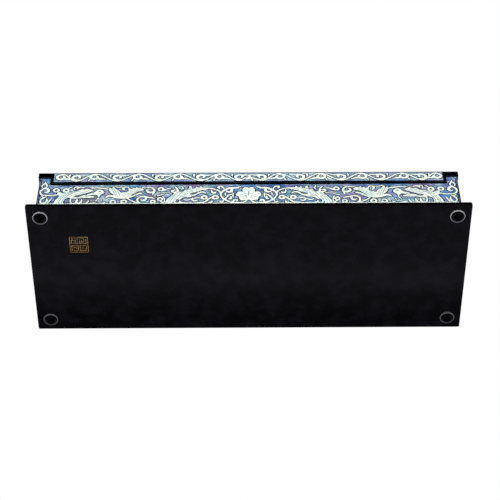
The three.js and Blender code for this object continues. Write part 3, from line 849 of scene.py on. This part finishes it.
FEATHER_CUTS = [
    [(36.4, 21.6, 0.08), (38.8, 19.9, 0.17), (40.5, 17.6, 0.17), (41.8, 15.6, 0.08)],
    [(37.0, 22.8, 0.08), (39.8, 21.2, 0.17), (42.0, 18.6, 0.2), (43.6, 15.6, 0.18), (44.8, 12.4, 0.1)],
    [(38.6, 23.0, 0.08), (41.2, 21.9, 0.15), (43.5, 19.2, 0.2), (45.3, 15.8, 0.18), (46.4, 12.2, 0.1)],
    [(41.4, 22.7, 0.08), (43.4, 20.8, 0.15), (45.4, 18.0, 0.18), (47.1, 14.6, 0.16), (47.9, 12.0, 0.1)],
    [(26.6, 25.7, 0.05), (30.0, 25.1, 0.12), (33.6, 24.2, 0.14), (36.6, 22.6, 0.06)],
    [(28.4, 26.5, 0.05), (31.6, 25.9, 0.12), (35.0, 24.9, 0.14), (38.0, 23.4, 0.06)],
    [(27.8, 24.5, 0.05), (31.0, 23.7, 0.12), (34.0, 22.7, 0.14), (36.2, 21.4, 0.06)],
    [(31.8, 20.0, 0.06), (33.4, 19.3, 0.14), (36.2, 18.8, 0.16), (38.8, 18.4, 0.08)],
    [(30.2, 27.0, 0.05), (33.0, 26.0, 0.14), (36.2, 24.6, 0.16), (39.4, 22.4, 0.14), (41.0, 20.6, 0.06)],
    [(34.2, 27.4, 0.05), (34.8, 26.2, 0.14), (36.0, 25.0, 0.06)],
    [(29.4, 22.9, 0.05), (32.0, 22.4, 0.12), (34.4, 21.2, 0.08)],
    [(39.6, 16.9, 0.06), (38.0, 18.9, 0.16), (36.4, 20.8, 0.16), (34.6, 22.6, 0.08)],
    [(75.6, 18.4, 0.06), (76.4, 20.6, 0.16), (77.2, 23.0, 0.18), (78.4, 25.2, 0.1)],
    [(77.2, 18.2, 0.06), (78.0, 20.8, 0.12), (78.9, 23.4, 0.14), (80.0, 26.0, 0.1)],
    [(78.6, 18.8, 0.06), (79.3, 21.0, 0.16), (80.2, 23.6, 0.2), (81.3, 26.4, 0.16)],
    [(64.0, 25.4, 0.05), (67.6, 23.8, 0.12), (71.0, 21.4, 0.14), (74.4, 18.6, 0.05)],
    [(65.6, 26.0, 0.05), (69.4, 24.6, 0.12), (72.6, 22.2, 0.14), (75.4, 19.2, 0.05)],
    [(64.2, 24.5, 0.05), (67.0, 22.9, 0.12), (70.0, 20.4, 0.14), (73.4, 18.0, 0.05)],
    [(66.0, 20.6, 0.05), (69.4, 18.6, 0.12), (72.6, 17.4, 0.05)],
    [(94.8, 25.0, 0.06), (98.6, 24.2, 0.14), (102.4, 22.8, 0.18), (105.8, 20.6, 0.22), (108.2, 17.6, 0.26),
     (109.5, 14.6, 0.26), (109.9, 12.0, 0.2)],
    [(94.2, 24.0, 0.05), (98.0, 23.0, 0.12), (101.6, 21.4, 0.14), (104.6, 19.2, 0.14), (106.4, 17.4, 0.08)],
    [(99.6, 24.9, 0.05), (103.4, 23.1, 0.12), (106.8, 20.8, 0.17), (109.6, 18.0, 0.22), (111.2, 14.8, 0.24),
     (111.8, 12.0, 0.18)],
    [(104.0, 22.9, 0.05), (107.6, 21.2, 0.12), (110.4, 18.8, 0.14), (112.0, 15.6, 0.14),
     (112.9, 12.4, 0.1)],
    [(97.0, 22.0, 0.05), (100.6, 20.8, 0.12), (103.4, 18.8, 0.06)],
    [(93.6, 18.4, 0.05), (97.0, 18.6, 0.12), (100.4, 17.5, 0.12), (103.4, 17.4, 0.05)],
]

EYES = [[(87.9, 23.4, 0.62), (88.3, 23.4, 0.62)]]

FLOWER = [
    (0.0, 26.2), (1.0, 27.0), (2.2, 26.9), (3.3, 25.8), (3.7, 24.3), (3.5, 23.2), (3.6, 22.6), (4.8, 22.9),
    (6.1, 22.7), (7.0, 21.4), (7.4, 20.1), (7.0, 18.9), (5.9, 18.0), (5.6, 17.0), (5.5, 15.9), (4.8, 14.8),
    (3.4, 14.4), (1.9, 14.4), (0.8, 14.6), (0.0, 15.1),
]

FLOWER_CUTS = [
    [(0.1, 18.8, 0.1), (0.15, 21.0, 0.3), (0.0, 23.4, 0.1)],
    [(1.2, 17.4, 0.06), (1.5, 18.2, 0.24), (1.9, 19.2, 0.06)],
    [(1.9, 20.4, 0.05), (2.5, 21.4, 0.16), (3.5, 22.5, 0.08)],
    [(2.0, 18.7, 0.05), (3.6, 19.5, 0.12), (5.4, 20.2, 0.14), (6.2, 20.4, 0.05)],
    [(2.2, 17.9, 0.05), (3.8, 17.7, 0.12), (5.6, 17.7, 0.06)],
    [(0.9, 17.2, 0.05), (2.0, 16.3, 0.1), (3.2, 15.6, 0.05)],
]

# Straight lines on the front: along the case's rim, up the sheet's ends, just inside them, and over the vine

NOTCH, RIM_LINE, RIM_HALF = 117.6, BAND_HIGH - 0.42, 0.46
SHEET_EDGE, SHEET_ENDS, SHEET_HALF = 124.4, (5.9, 35.6), 0.3
EDGE_LINE, EDGE_ENDS, EDGE_HALF, EDGE_SWELL = SHEET_EDGE - 0.9, (6.4, 35.0), 0.32, 0.04
BORDER_REACH, BORDER_LINE, BORDER_HALF = SHEET_EDGE - 1.6, 11.75, 0.3

# Vines of the front and the ends; bays are the first one's middle, their pitch and their number

LOW_VINE = {"middle": 8.7, "swing": 1.5, "radius": 1.25, "width": 0.5}
HIGH_VINE = {"middle": 32.8, "swing": 1.7, "radius": 1.5, "width": 0.55}
FRONT_BAYS = (8.0, 12.5, 10)
END_BAYS = (6.0, 11.0, 4)


def whole_flower(half):
    """The flower's outline, from its right half."""
    return half + [(-u, v) for u, v in reversed(half[1:-1])]


def front_and_back_panels():
    """The birds either side of a flower, on the front and again on the back."""
    ends = [[(u, v, half + END_GAIN) for u, v, half in stroke] for stroke in END_SCROLLS]
    vine = scroll_vine(*FRONT_BAYS, **LOW_VINE)
    strokes = both_halves(FLOWER_FRAME + SCROLLS + ends + vine)
    strokes.append(level_line(BORDER_REACH, BORDER_LINE, BORDER_HALF))
    plates = both_halves([PLUME, WING, HEAD, FAR_WING]) + [whole_flower(FLOWER)]
    cuts = both_halves(FEATHER_CUTS + FLOWER_CUTS)
    rim = [level_line(NOTCH, RIM_LINE, RIM_HALF)] + upright_lines(SHEET_EDGE, *SHEET_ENDS, SHEET_HALF)
    edges = upright_lines(EDGE_LINE, *EDGE_ENDS, EDGE_HALF, EDGE_SWELL)
    for side, place in (("front", FRONT), ("back", BACK)):
        inlay(side, strokes, plates, cuts, place, "case")
        shell_strokes(side + "_eyes", both_halves(EYES), place, "case", OUTLINE, 0.0, CUT_TOP, CUT_RISE)
        shell_strokes(side + "_rim", rim, place, "case", LACQUER, 0.0, OUTLINE_TOP)
        shell_strokes(side + "_edges", edges, place, "case", OUTLINE, 0.0, OUTLINE_TOP)


# The ends: the same flower in its frame, with a spray either side and a vine above and below

END_REACH = 41.2
END_LIFT = 0.6
END_SPRAY = [
    [(24.2, 26.0, 0.4), (27.0, 25.6, 0.75), (30.2, 24.4, 0.9), (33.2, 22.4, 0.85), (35.6, 19.8, 0.6),
     (37.2, 17.0, 0.25)],
    [(22.8, 23.0, 0.2), (25.6, 22.8, 0.6), (28.4, 21.6, 0.75), (31.0, 19.6, 0.7), (33.0, 18.0, 0.25)],
    ring(37.6, 24.4, 1.5, 200, -320, 0.75, 0.45),
]


def end_panels():
    """The left and right ends."""
    middle = [stroke for stroke in FLOWER_FRAME + SCROLLS
              if max(u + half for u, v, half in stroke) < END_REACH]
    vines = scroll_vine(*END_BAYS, **LOW_VINE) + scroll_vine(*END_BAYS, **HIGH_VINE)
    strokes = both_halves(moved(middle + END_SPRAY, up=END_LIFT) + vines)
    plates = moved([whole_flower(FLOWER)], up=END_LIFT)
    cuts = both_halves(moved(FLOWER_CUTS, up=END_LIFT))
    for side, place in (("left", LEFT), ("right", RIGHT)):
        inlay(side, strokes, plates, cuts, place, "case")


# The top: a round flower, the front's birds mirrored four ways, and a vine between two lines round the edge

TOP_MIDDLE = -0.6
TOP_HALF_LENGTH = 119.5
TOP_HALF_DEPTH = 37.35
TOP_SINK = 0.14
BORDER_INSETS = (2.0, 10.6)
VINE_INSET = 6.3
TOP_VINE = {"swing": 2.4, "radius": 2.2, "width": 0.75}
LONG_BAYS = (6.0, 11.6, 10)
SHORT_BAYS = (5.6, 10.6, 3)

# The birds of the top, and where its field starts; no feather's cut of the front past FIELD_END is used

BIRD_STRETCH = (0.93, 1.22)
BIRD_SHIFT = (-1.0, 2.6 - 12.6 * BIRD_STRETCH[1])
FIELD_START = (19.0, 0.4)
FIELD_END = 90.0
FIELD_RINGS = [ring(106.0, 21.4, 1.6, 60, 320, 0.85, 0.5), ring(105.8, 5.4, 1.5, 200, -320, 0.8, 0.45)]

# The round flower's petals, as their number, foot, tip and spread, with a circle and beads round them

OUTER_PETALS = (8, 3.4, 13.6, 0.42)
INNER_PETALS = (6, 0.4, 3.2, 0.5)
PETAL_TURNS = (0.25, 0.85, 0.75, 0.38)
PETAL_SHOULDER, PETAL_NOTCH = 0.93, 0.95
PETAL_VEINS = ((4.6, 0.07), (8.0, 0.18), (11.0, 0.05))
VEIN_LEANS = (-0.16, 0.0, 0.16)
CIRCLE_REACH, CIRCLE_HALF, CIRCLE_STEP = 16.5, 0.38, 12
BEAD_REACH, BEAD_RADIUS, BEAD_SWEEP, BEAD_HALVES = 19.4, 1.2, 300, (0.6, 0.35)
BEAD_ANGLES = [middle + 28 * step for middle in (90, 270) for step in (-2, -1, 0, 1, 2)]


def to_quarter(shapes):
    """The front's shapes, stretched to a quarter of the top; what would reach its middle is left out."""
    placed = moved(shapes, *BIRD_SHIFT, BIRD_STRETCH)
    return [shape for shape in placed
            if all(min(point[i] for point in shape) > FIELD_START[i] for i in (0, 1))]


def even_turns(count):
    """The angles that share a full turn evenly."""
    return [2.0 * math.pi * number / count for number in range(count)]


def round_flower(petal_count, inner, outer, spread):
    """Petals set round a centre."""
    reaches = (inner, (inner + outer) / 2.0, outer * PETAL_SHOULDER, outer)
    half = list(zip(reaches, PETAL_TURNS))
    shape = [(reach, -turn) for reach, turn in half] + [(outer * PETAL_NOTCH, 0.0)] + half[::-1]
    return [[polar(0.0, 0.0, reach, middle + turn * spread) for reach, turn in shape]
            for middle in even_turns(petal_count)]


def petal_cuts(petal_count):
    """Three fine veins in each petal."""
    return [[(*polar(0.0, 0.0, reach, turn + lean), half) for reach, half in PETAL_VEINS]
            for turn in even_turns(petal_count) for lean in VEIN_LEANS]


def border_lines():
    """Two lines of shell round the top."""
    lines = []
    for inset in BORDER_INSETS:
        a, b = TOP_HALF_LENGTH - inset, TOP_HALF_DEPTH - inset
        corners = [(-a, -b), (a, -b), (a, b), (-a, b), (-a, -b)]
        for (u0, v0), (u1, v1) in zip(corners, corners[1:]):
            middle = ((u0 + u1) / 2.0, (v0 + v1) / 2.0)
            lines.append([(u, v, BORDER_HALF) for u, v in ((u0, v0), middle, (u1, v1))])
    return lines


def top_field(face):
    """The birds and scrolls of the top, round its flower."""
    circle = [(*polar(0.0, 0.0, CIRCLE_REACH, math.radians(turn)), CIRCLE_HALF)
              for turn in range(0, 361, CIRCLE_STEP)]
    beads = []
    for turn in BEAD_ANGLES:
        middle = polar(0.0, 0.0, BEAD_REACH, math.radians(turn))
        beads.append(ring(*middle, BEAD_RADIUS, turn + 180, BEAD_SWEEP, *BEAD_HALVES))
    flower = round_flower(*OUTER_PETALS) + round_flower(*INNER_PETALS)
    near_cuts = [cut for cut in FEATHER_CUTS if max(point[0] for point in cut) < FIELD_END]
    strokes = fourfold(to_quarter(SCROLLS) + FIELD_RINGS) + [circle] + beads
    plates = fourfold(to_quarter([PLUME, WING, HEAD])) + flower
    cuts = fourfold(to_quarter(near_cuts)) + petal_cuts(OUTER_PETALS[0])
    inlay("top_field", strokes, plates, cuts, face, "lid")
    shell_strokes("top_eyes", fourfold(to_quarter(EYES)), face, "lid", OUTLINE, 0.0, CUT_TOP, CUT_RISE)


def top_border(face):
    """The vine and the lines round the edge of the top."""
    along = scroll_vine(*LONG_BAYS, TOP_HALF_DEPTH - VINE_INSET, **TOP_VINE)
    upright = scroll_vine(*SHORT_BAYS, TOP_HALF_LENGTH - VINE_INSET, **TOP_VINE)
    across = [[(v, u, half) for u, v, half in stroke] for stroke in upright]
    inlay("top_border", fourfold(along) + fourfold(across) + border_lines(), [], [], face, "lid")


def top_panel():
    """The inlay of the lid's top."""
    face = Matrix.Translation((0.0, TOP_MIDDLE * MM, (TOP_Z - TOP_SINK) * MM))
    top_field(face)
    top_border(face)


# The strip in the lid's edge: a waving stem, under each crest and over each dip a round comma

LEFT_CRESTS = [17.2, 41.8, 66.0, 91.9, 111.9]
LEFT_DIPS = [5.6, 28.5, 53.2, 78.3, 102.8]
RIGHT_CRESTS = [18.7, 43.2, 67.8, 92.5, 112.6]
RIGHT_DIPS = [8.0, 31.0, 55.5, 79.0, 103.8]
CREST_EYE, DIP_EYE = 36.1, 35.3
STRIP_STEM_START = (0.6, 35.4, 0.3)
STEM_HIGH, STEM_HIGH_HALF, STEM_LEAN = 38.75, 0.4, -0.6
STEM_LOW, STEM_LOW_HALF = 32.2, 0.42
SWAY_PARTS = (0.2, 0.4, 0.6, 0.8, 1.0)

CREST_COMMA = [
    [(-0.9, 1.9, 0.4), (0.8, 1.9, 0.6), (2.1, 0.9, 0.78), (2.4, -0.5, 0.78), (1.6, -1.7, 0.8),
     (0.0, -2.1, 0.82), (-1.5, -1.4, 0.88), (-1.9, -0.1, 0.8), (-1.3, 0.6, 0.4)],
    [(-6.5, -2.6, 0.15), (-4.7, -2.1, 0.55), (-2.9, -1.8, 0.7), (-1.3, -1.7, 0.6)],
    [(2.8, -2.4, 0.3), (3.4, -3.3, 0.4), (3.5, -3.9, 0.2)],
]

DIP_COMMA = [
    [(-6.7, 2.3, 0.2), (-4.7, 2.1, 0.52), (-2.5, 2.1, 0.62), (-0.5, 2.2, 0.75), (1.3, 1.6, 0.82),
     (2.1, 0.2, 0.82), (1.5, -1.2, 0.72), (-0.1, -2.0, 0.52), (-1.9, -2.2, 0.3)],
    [(-1.4, 1.5, 0.4), (-2.0, 0.7, 0.85), (-1.6, 0.0, 0.5)],
    [(3.8, 3.2, 0.2), (4.2, 2.4, 0.5), (4.0, 1.4, 0.3)],
]

STRIP_MIDDLE = [
    [(0.1, 37.6, 0.2), (0.5, 36.2, 0.7), (0.6, 34.9, 0.72), (-0.4, 33.9, 0.6), (-1.6, 33.6, 0.3)],
    [(1.2, 34.4, 0.4), (2.0, 33.2, 0.68), (2.2, 32.2, 0.3)],
    [(2.4, 35.0, 0.3), (3.2, 34.4, 0.5), (3.9, 33.4, 0.3)],
]


def swaying(turns):
    """A stem that sways evenly from turn to turn."""
    stem = turns[:1]
    for (u0, v0, w0), (u1, v1, w1) in zip(turns, turns[1:]):
        for part in SWAY_PARTS:
            sway = 0.5 - 0.5 * math.cos(math.pi * part)
            stem.append((u0 + (u1 - u0) * part, v0 + (v1 - v0) * sway, w0 + (w1 - w0) * part))
    return stem


def strip_side(crests, dips):
    """The commas and the stem of one half of the strip; the last crest has no leaf."""
    strokes = []
    for u in crests:
        strokes += moved(CREST_COMMA if u < max(crests) else CREST_COMMA[:-1], u, CREST_EYE)
    for u in dips:
        strokes += moved(DIP_COMMA, u, DIP_EYE)
    turns = [STRIP_STEM_START]
    turns += [(u + STEM_LEAN, STEM_HIGH, STEM_HIGH_HALF) for u in crests]
    turns += [(u, STEM_LOW, STEM_LOW_HALF) for u in dips]
    return strokes + [swaying(sorted(turns))]


def lid_strip():
    """The inlay of the strip."""
    left = moved(strip_side(LEFT_CRESTS, LEFT_DIPS), stretch=(-1.0, 1.0))
    strokes = left + strip_side(RIGHT_CRESTS, RIGHT_DIPS) + STRIP_MIDDLE
    inlay("strip", strokes, [], [], STRIP, "lid", STRIP_SWELL)


# The underside: a gold square with fretwork, drawn thin

SQUARE_CENTRE = (-100.5, -19.3)
SQUARE_HALF = (5.3, 5.7)
SQUARE_CORNERS = ((-1, -1), (1, -1), (1, 1), (-1, 1))
FRET_PLACE, FRET_REACH = 0.46, 0.35
GOLD_HALF, GOLD_TOP = 0.31, 0.03


def key_fret(u, v, reach, turn):
    """A square spiral, the plain key pattern."""
    corners = [*SQUARE_CORNERS, (-1, -0.35), (0.4, -0.35), (0.4, 0.4), (-0.3, 0.4)]
    c, s = math.cos(math.radians(turn)), math.sin(math.radians(turn))
    return [(u + reach * (a * c - b * s), v + reach * (a * s + b * c)) for a, b in corners]


def gold_square():
    """A square of thin gold lines with a key pattern in each corner."""
    u, v = SQUARE_CENTRE
    wide, deep = SQUARE_HALF
    paths = [[(u + a * wide, v + b * deep) for a, b in SQUARE_CORNERS]]
    for number, (a, b) in enumerate(SQUARE_CORNERS):
        place = (u + a * wide * FRET_PLACE, v + b * deep * FRET_PLACE)
        paths.append(key_fret(*place, wide * FRET_REACH, 90.0 * number))
    curve = new_curve("gold_square", dimensions="3D", bevel_depth=GOLD_HALF * MM, bevel_resolution=1,
                      use_fill_caps=True)
    for path in paths:
        spline = curve.splines.new("POLY")
        spline.points.add(len(path) - 1)
        for point, (x, y) in zip(spline.points, path):
            point.co = (x * MM, y * MM, 0.0, 1.0)
    curve.splines[0].use_cyclic_u = True
    bm = bmesh.new()
    add_surface(bm, curve)
    press(bm, GOLD_TOP)
    underside = Matrix.Translation((0.0, 0.0, UNDERSIDE_Z * MM))
    laid(bm, "gold_square", underside, "case", GOLD)


# Boards, sheets and linings, with their edges softened; widths in millimetres

BOARD_EDGE, REST_EDGE, LID_EDGE = 0.25, 0.3, 0.3
SHEET_EDGE_WIDTH, STRIP_EDGE_WIDTH = 0.08, 0.32
FELT_EDGE, LID_FELT_EDGE = 0.3, 0.35
PLATE_CROWN = 0.9
LID_CORNER, LID_CORNER_LEFT = 1.2, 0.35
STRIP_TOP, STRIP_RISE = 1.0, 0.36
SHEET_TOP = 0.3


def boards():
    """The lacquered boards of the case and the lid."""
    softened("base_plate", BOARD_EDGE, LACQUER, "case", 3, PLATE_CROWN)
    for node in ("front_wall", "back_wall", "left_wall", "right_wall"):
        softened(node, BOARD_EDGE, LACQUER, "case")
    for node in ("pen_rest_left", "pen_rest_right"):
        softened(node, REST_EDGE, LACQUER, "case")
    crisper_ends(softened("lid_board", LID_EDGE, LACQUER, "lid", 3))


def crisper_ends(board):
    """Draws the rounding of the lid's end edges in towards their corners."""
    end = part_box("lid_board")[1].x
    for vertex in board.data.vertices:
        inward, down = end - abs(vertex.co.x), TOP_Z * MM - vertex.co.z
        if max(inward, down) < (LID_CORNER + TO_TOP) * MM:
            vertex.co.x = math.copysign(end - inward * LID_CORNER_LEFT, vertex.co.x)
            vertex.co.z = TOP_Z * MM - down * LID_CORNER_LEFT


def shift_top(piece, depth, rise):
    """Moves the vertices within a depth of the lid's top up by a rise."""
    for vertex in piece.data.vertices:
        if vertex.co.z > (TOP_Z - depth) * MM:
            vertex.co.z += rise * MM


def sheets():
    """The shell sheets that the inlay lies on."""
    for node in ("front_inlay", "back_inlay", "left_inlay", "right_inlay"):
        softened(node, SHEET_EDGE_WIDTH, GROUND, "case")
    strip = softened("lid_front_inlay", STRIP_EDGE_WIDTH, STRIP_GROUND, "lid", 1)
    strip.modifiers.clear()
    for face in strip.data.polygons:
        face.use_smooth = False
    shift_top(strip, STRIP_TOP, STRIP_RISE)
    shift_top(softened("lid_top_inlay", SHEET_EDGE_WIDTH, GROUND, "lid"), SHEET_TOP, -TOP_SINK)


def linings():
    """The felt inside the case and the lid."""
    for node in ("floor_lining", "front_lining", "back_lining", "left_lining", "right_lining"):
        softened(node, FELT_EDGE, FELT, "case")
    softened("lid_lining", LID_FELT_EDGE, FELT, "lid", 3)


# Feet: (reach, height) in millimetres, from the middle of the upper face round to the middle of the lower

FOOT_STEPS = 64
FOOT_PROFILE = [
    (0.0, 2.5), (4.4, 2.5), (4.4, 1.86), (4.3, 1.74), (3.78, 1.68), (3.68, 1.6), (3.3, 1.0), (2.8, 0.45),
    (2.3, 0.12), (1.8, 0.0), (0.0, 0.0),
]


def feet():
    """Stick-on feet: a thin flat ring with a low dome inside it."""
    for node in ("foot_front_left", "foot_front_right", "foot_back_left", "foot_back_right"):
        low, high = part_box(node)
        middle = (low + high) / 2.0
        bm = bmesh.new()
        line = [bm.verts.new((middle.x + reach * MM, middle.y, height * MM))
                for reach, height in FOOT_PROFILE]
        edges = [bm.edges.new(pair) for pair in zip(line, line[1:])]
        bmesh.ops.spin(bm, geom=line + edges, cent=(middle.x, middle.y, 0.0), axis=(0.0, 0.0, 1.0),
                       angle=math.radians(360.0), steps=FOOT_STEPS, use_merge=True)
        bmesh.ops.remove_doubles(bm, verts=bm.verts, dist=MERGE * MM)
        bmesh.ops.recalc_face_normals(bm, faces=bm.faces)
        piece = finished(as_mesh(bm, node + "_turned"), node + "_turned", RUBBER, "case")
        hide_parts(node)


# Hinges, with the turn of each screw's slot in degrees

LEAF_EDGE, PIN_EDGE = 0.1, 0.12
SLOT_HALF, SLOT_DEPTH = 0.22, 0.35
HEAD_DEPTH = 0.05
SLOT_TURNS = {
    "left_case_screw_1": 18, "left_case_screw_2": 74, "left_lid_screw_1": -36, "left_lid_screw_2": 5,
    "right_case_screw_1": 52, "right_case_screw_2": -12, "right_lid_screw_1": 88, "right_lid_screw_2": -60,
}


def slotted_screw(name, body):
    """A brass screw with a slot across its head, the slot's floor in dark outline lacquer as painted shade.
    """
    node = "hinge_" + name
    piece = softened(node, PIN_EDGE, BRASS, body)
    # The dark outline lacquer is a second finish, used as painted shade on the slot's floor.
    piece.data.materials.append(OUTLINE)
    low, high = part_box(node)
    middle = (low + high) / 2.0
    turn = math.radians(SLOT_TURNS[name])
    across = Vector((math.cos(turn), 0.0, math.sin(turn)))
    bm = bmesh.new()
    bm.from_mesh(piece.data)
    for side in (-1.0, 1.0):
        bmesh.ops.bisect_plane(bm, geom=bm.verts[:] + bm.edges[:] + bm.faces[:],
                               plane_co=middle + across * side * SLOT_HALF * MM, plane_no=across)
    heads = [face for face in bm.faces
             if face.normal.y > 0.9 and face.calc_center_median().y > high.y - HEAD_DEPTH * MM]
    sunk = [face for face in heads
            if abs((face.calc_center_median() - middle).dot(across)) < SLOT_HALF * MM]
    pushed = bmesh.ops.extrude_face_region(bm, geom=sunk)
    floor = [item for item in pushed["geom"] if isinstance(item, bmesh.types.BMFace)]
    corners = list({vert for face in floor for vert in face.verts})
    bmesh.ops.translate(bm, vec=(0.0, -SLOT_DEPTH * MM, 0.0), verts=corners)
    # Painted shade: the slot's floor takes the dark second finish.
    for face in floor:
        face.material_index = 1
    bmesh.ops.delete(bm, geom=sunk, context="FACES")
    bmesh.ops.recalc_face_normals(bm, faces=bm.faces)
    bm.to_mesh(piece.data)
    bm.free()


def hinges():
    """Leaves, pins and screws of both hinges."""
    for side in ("left", "right"):
        softened(f"hinge_{side}_case_leaf", LEAF_EDGE, BRASS, "case")
        softened(f"hinge_{side}_lid_leaf", LEAF_EDGE, BRASS, "lid")
        softened(f"hinge_{side}_pin", PIN_EDGE, BRASS, "case")
    for name in SLOT_TURNS:
        slotted_screw(name, "case" if "_case_" in name else "lid")


# Floor, world and lamps, in metres, and the camera

FLOOR_REACH, FLOOR_SIDES, FLOOR_FADE = 1.6, 96, (0.55, 1.5)
FLOOR_DROP = 0.0002


def pale_floor():
    """A pale disc that shows from above alone and fades out, so that the view from below stays clear."""
    bm = bmesh.new()
    bmesh.ops.create_circle(bm, cap_ends=True, segments=FLOOR_SIDES, radius=FLOOR_REACH)
    floor = bpy.data.objects.new("floor", as_mesh(bm, "floor", False))
    floor.location.z = -FLOOR_DROP
    bpy.context.scene.collection.objects.link(floor)
    finish = Finish("pale_floor", Base_Color=(0.86, 0.86, 0.86), Roughness=0.6, Specular_IOR_Level=0.2)
    reach = finish.node("ShaderNodeVectorMath", {"operation": "LENGTH"}, "Value", in0=finish.spot())
    gone = finish.fade(reach, *FLOOR_FADE)
    below = finish.node("ShaderNodeNewGeometry", output="Backfacing")
    camera_ray = finish.node("ShaderNodeLightPath", output="Is Camera Ray")
    clear = 1.0 - (1.0 - gone) * (1.0 - below) * camera_ray
    mixed = finish.node("ShaderNodeMixShader", in0=clear, in1=Value(finish.tree, finish.shader.outputs[0]),
                        in2=finish.node("ShaderNodeBsdfTransparent"))
    finish.tree.links.new(mixed.socket, finish.tree.nodes["Material Output"].inputs[0])
    floor.data.materials.append(finish.material)


# The room's light, and what gloss shows of it: (place from straight down to straight up, brightness)

AMBIENT, AMBIENT_TINT = 0.56, (1.0, 1.0, 1.02)
GLOSS_TINT = (1.0, 0.96, 1.18)
GLOSS_LEVELS = [
    (0.0, 0.010), (0.1044, 0.010), (0.1054, 0.090), (0.1062, 0.112), (0.1097, 0.100), (0.1133, 0.100),
    (0.1157, 0.106), (0.1181, 0.116), (0.1206, 0.142), (0.1236, 0.152), (0.1242, 0.132), (0.1252, 0.058),
    (0.1264, 0.038), (0.1274, 0.022), (0.1287, 0.036), (0.1300, 0.048), (0.1316, 0.036), (0.2000, 0.040),
    (0.4000, 0.300), (0.5200, 0.460), (0.6000, 0.340), (0.7200, 0.090), (0.7800, 0.008), (0.9300, 0.008),
    (1.0, 0.300),
]


def studio_world():
    """White behind the object; a pale room with a darker floor and ceiling in its gloss."""
    world = bpy.data.worlds.new("studio")
    world.use_nodes = True
    bpy.context.scene.world = world
    room = Nodes(world.node_tree)
    where = room.node("ShaderNodeTexCoord", output="Generated")
    high, deep = room.split(where, "Z"), room.split(where, "Y")
    up = high / (high * high + deep * deep + 0.0001) ** 0.5
    stops = [(height, tuple(level * part for part in GLOSS_TINT)) for height, level in GLOSS_LEVELS]
    gloss = room.ramp(up * 0.5 + 0.5, *stops)
    seen, through, shiny = (room.node("ShaderNodeLightPath", output=f"Is {kind} Ray")
                            for kind in ("Camera", "Transmission", "Glossy"))
    colour = room.mix(shiny, tuple(AMBIENT * part for part in AMBIENT_TINT), gloss)
    colour = room.mix(seen.math("MAXIMUM", through), colour, (1.0, 1.0, 1.0))
    connect(room.tree, room.tree.nodes["Background"].inputs["Color"], colour)


# Soft boxes round the object: (place, side, power in watts)

AIM = (0.0, 0.0, 0.02)
LAMPS = {
    "front_left_box": ((-0.8, -1.0, 0.25), 0.5, 8.6),
    "front_right_box": ((0.9, -0.95, 0.1), 0.5, 6.6),
    "low_box": ((-0.15, -0.9, -0.75), 0.4, 4.0),
    "top_box": ((-0.1, -0.1, 1.3), 0.7, 9.0),
    "back_box": ((0.35, 1.15, 0.55), 0.6, 7.0),
}


def lamps():
    """Square soft boxes that face the object and don't show in its gloss."""
    for name, (place, side, power) in LAMPS.items():
        light = bpy.data.lights.new(name, "AREA")
        light.shape = "SQUARE"
        light.size = side
        light.energy = power
        box = bpy.data.objects.new(name, light)
        box.location = place
        direction = Vector(AIM) - Vector(place)
        box.rotation_euler = direction.to_track_quat("-Z", "Y").to_euler()
        box.visible_glossy = False
        bpy.context.scene.collection.objects.link(box)


# The camera, fitted to the plate's corners, the feet and the front's outline, in millimetres and degrees

CAMERA_PLACE = (-3.993, -613.997, -719.457)
CAMERA_TURN = (140.301, 0.386, 0.025)
LENS, SENSOR = 113.88, 36.0
CLIP = (0.05, 20.0)


def camera():
    """The photograph's camera, below and in front of the object."""
    data = bpy.data.cameras.new("camera")
    data.sensor_width = SENSOR
    data.lens = LENS
    data.clip_start, data.clip_end = CLIP
    body = bpy.data.objects.new("camera", data)
    turn = Euler([math.radians(angle) for angle in CAMERA_TURN])
    body.matrix_world = Matrix.LocRotScale(Vector(CAMERA_PLACE) * MM, turn, None)
    bpy.context.scene.collection.objects.link(body)
    bpy.context.scene.camera = body


camera()
pale_floor()
studio_world()
lamps()
boards()
sheets()
linings()
feet()
hinges()
front_and_back_panels()
end_panels()
top_panel()
lid_strip()
gold_square()

bpy.context.scene.view_settings.view_transform = "Standard"
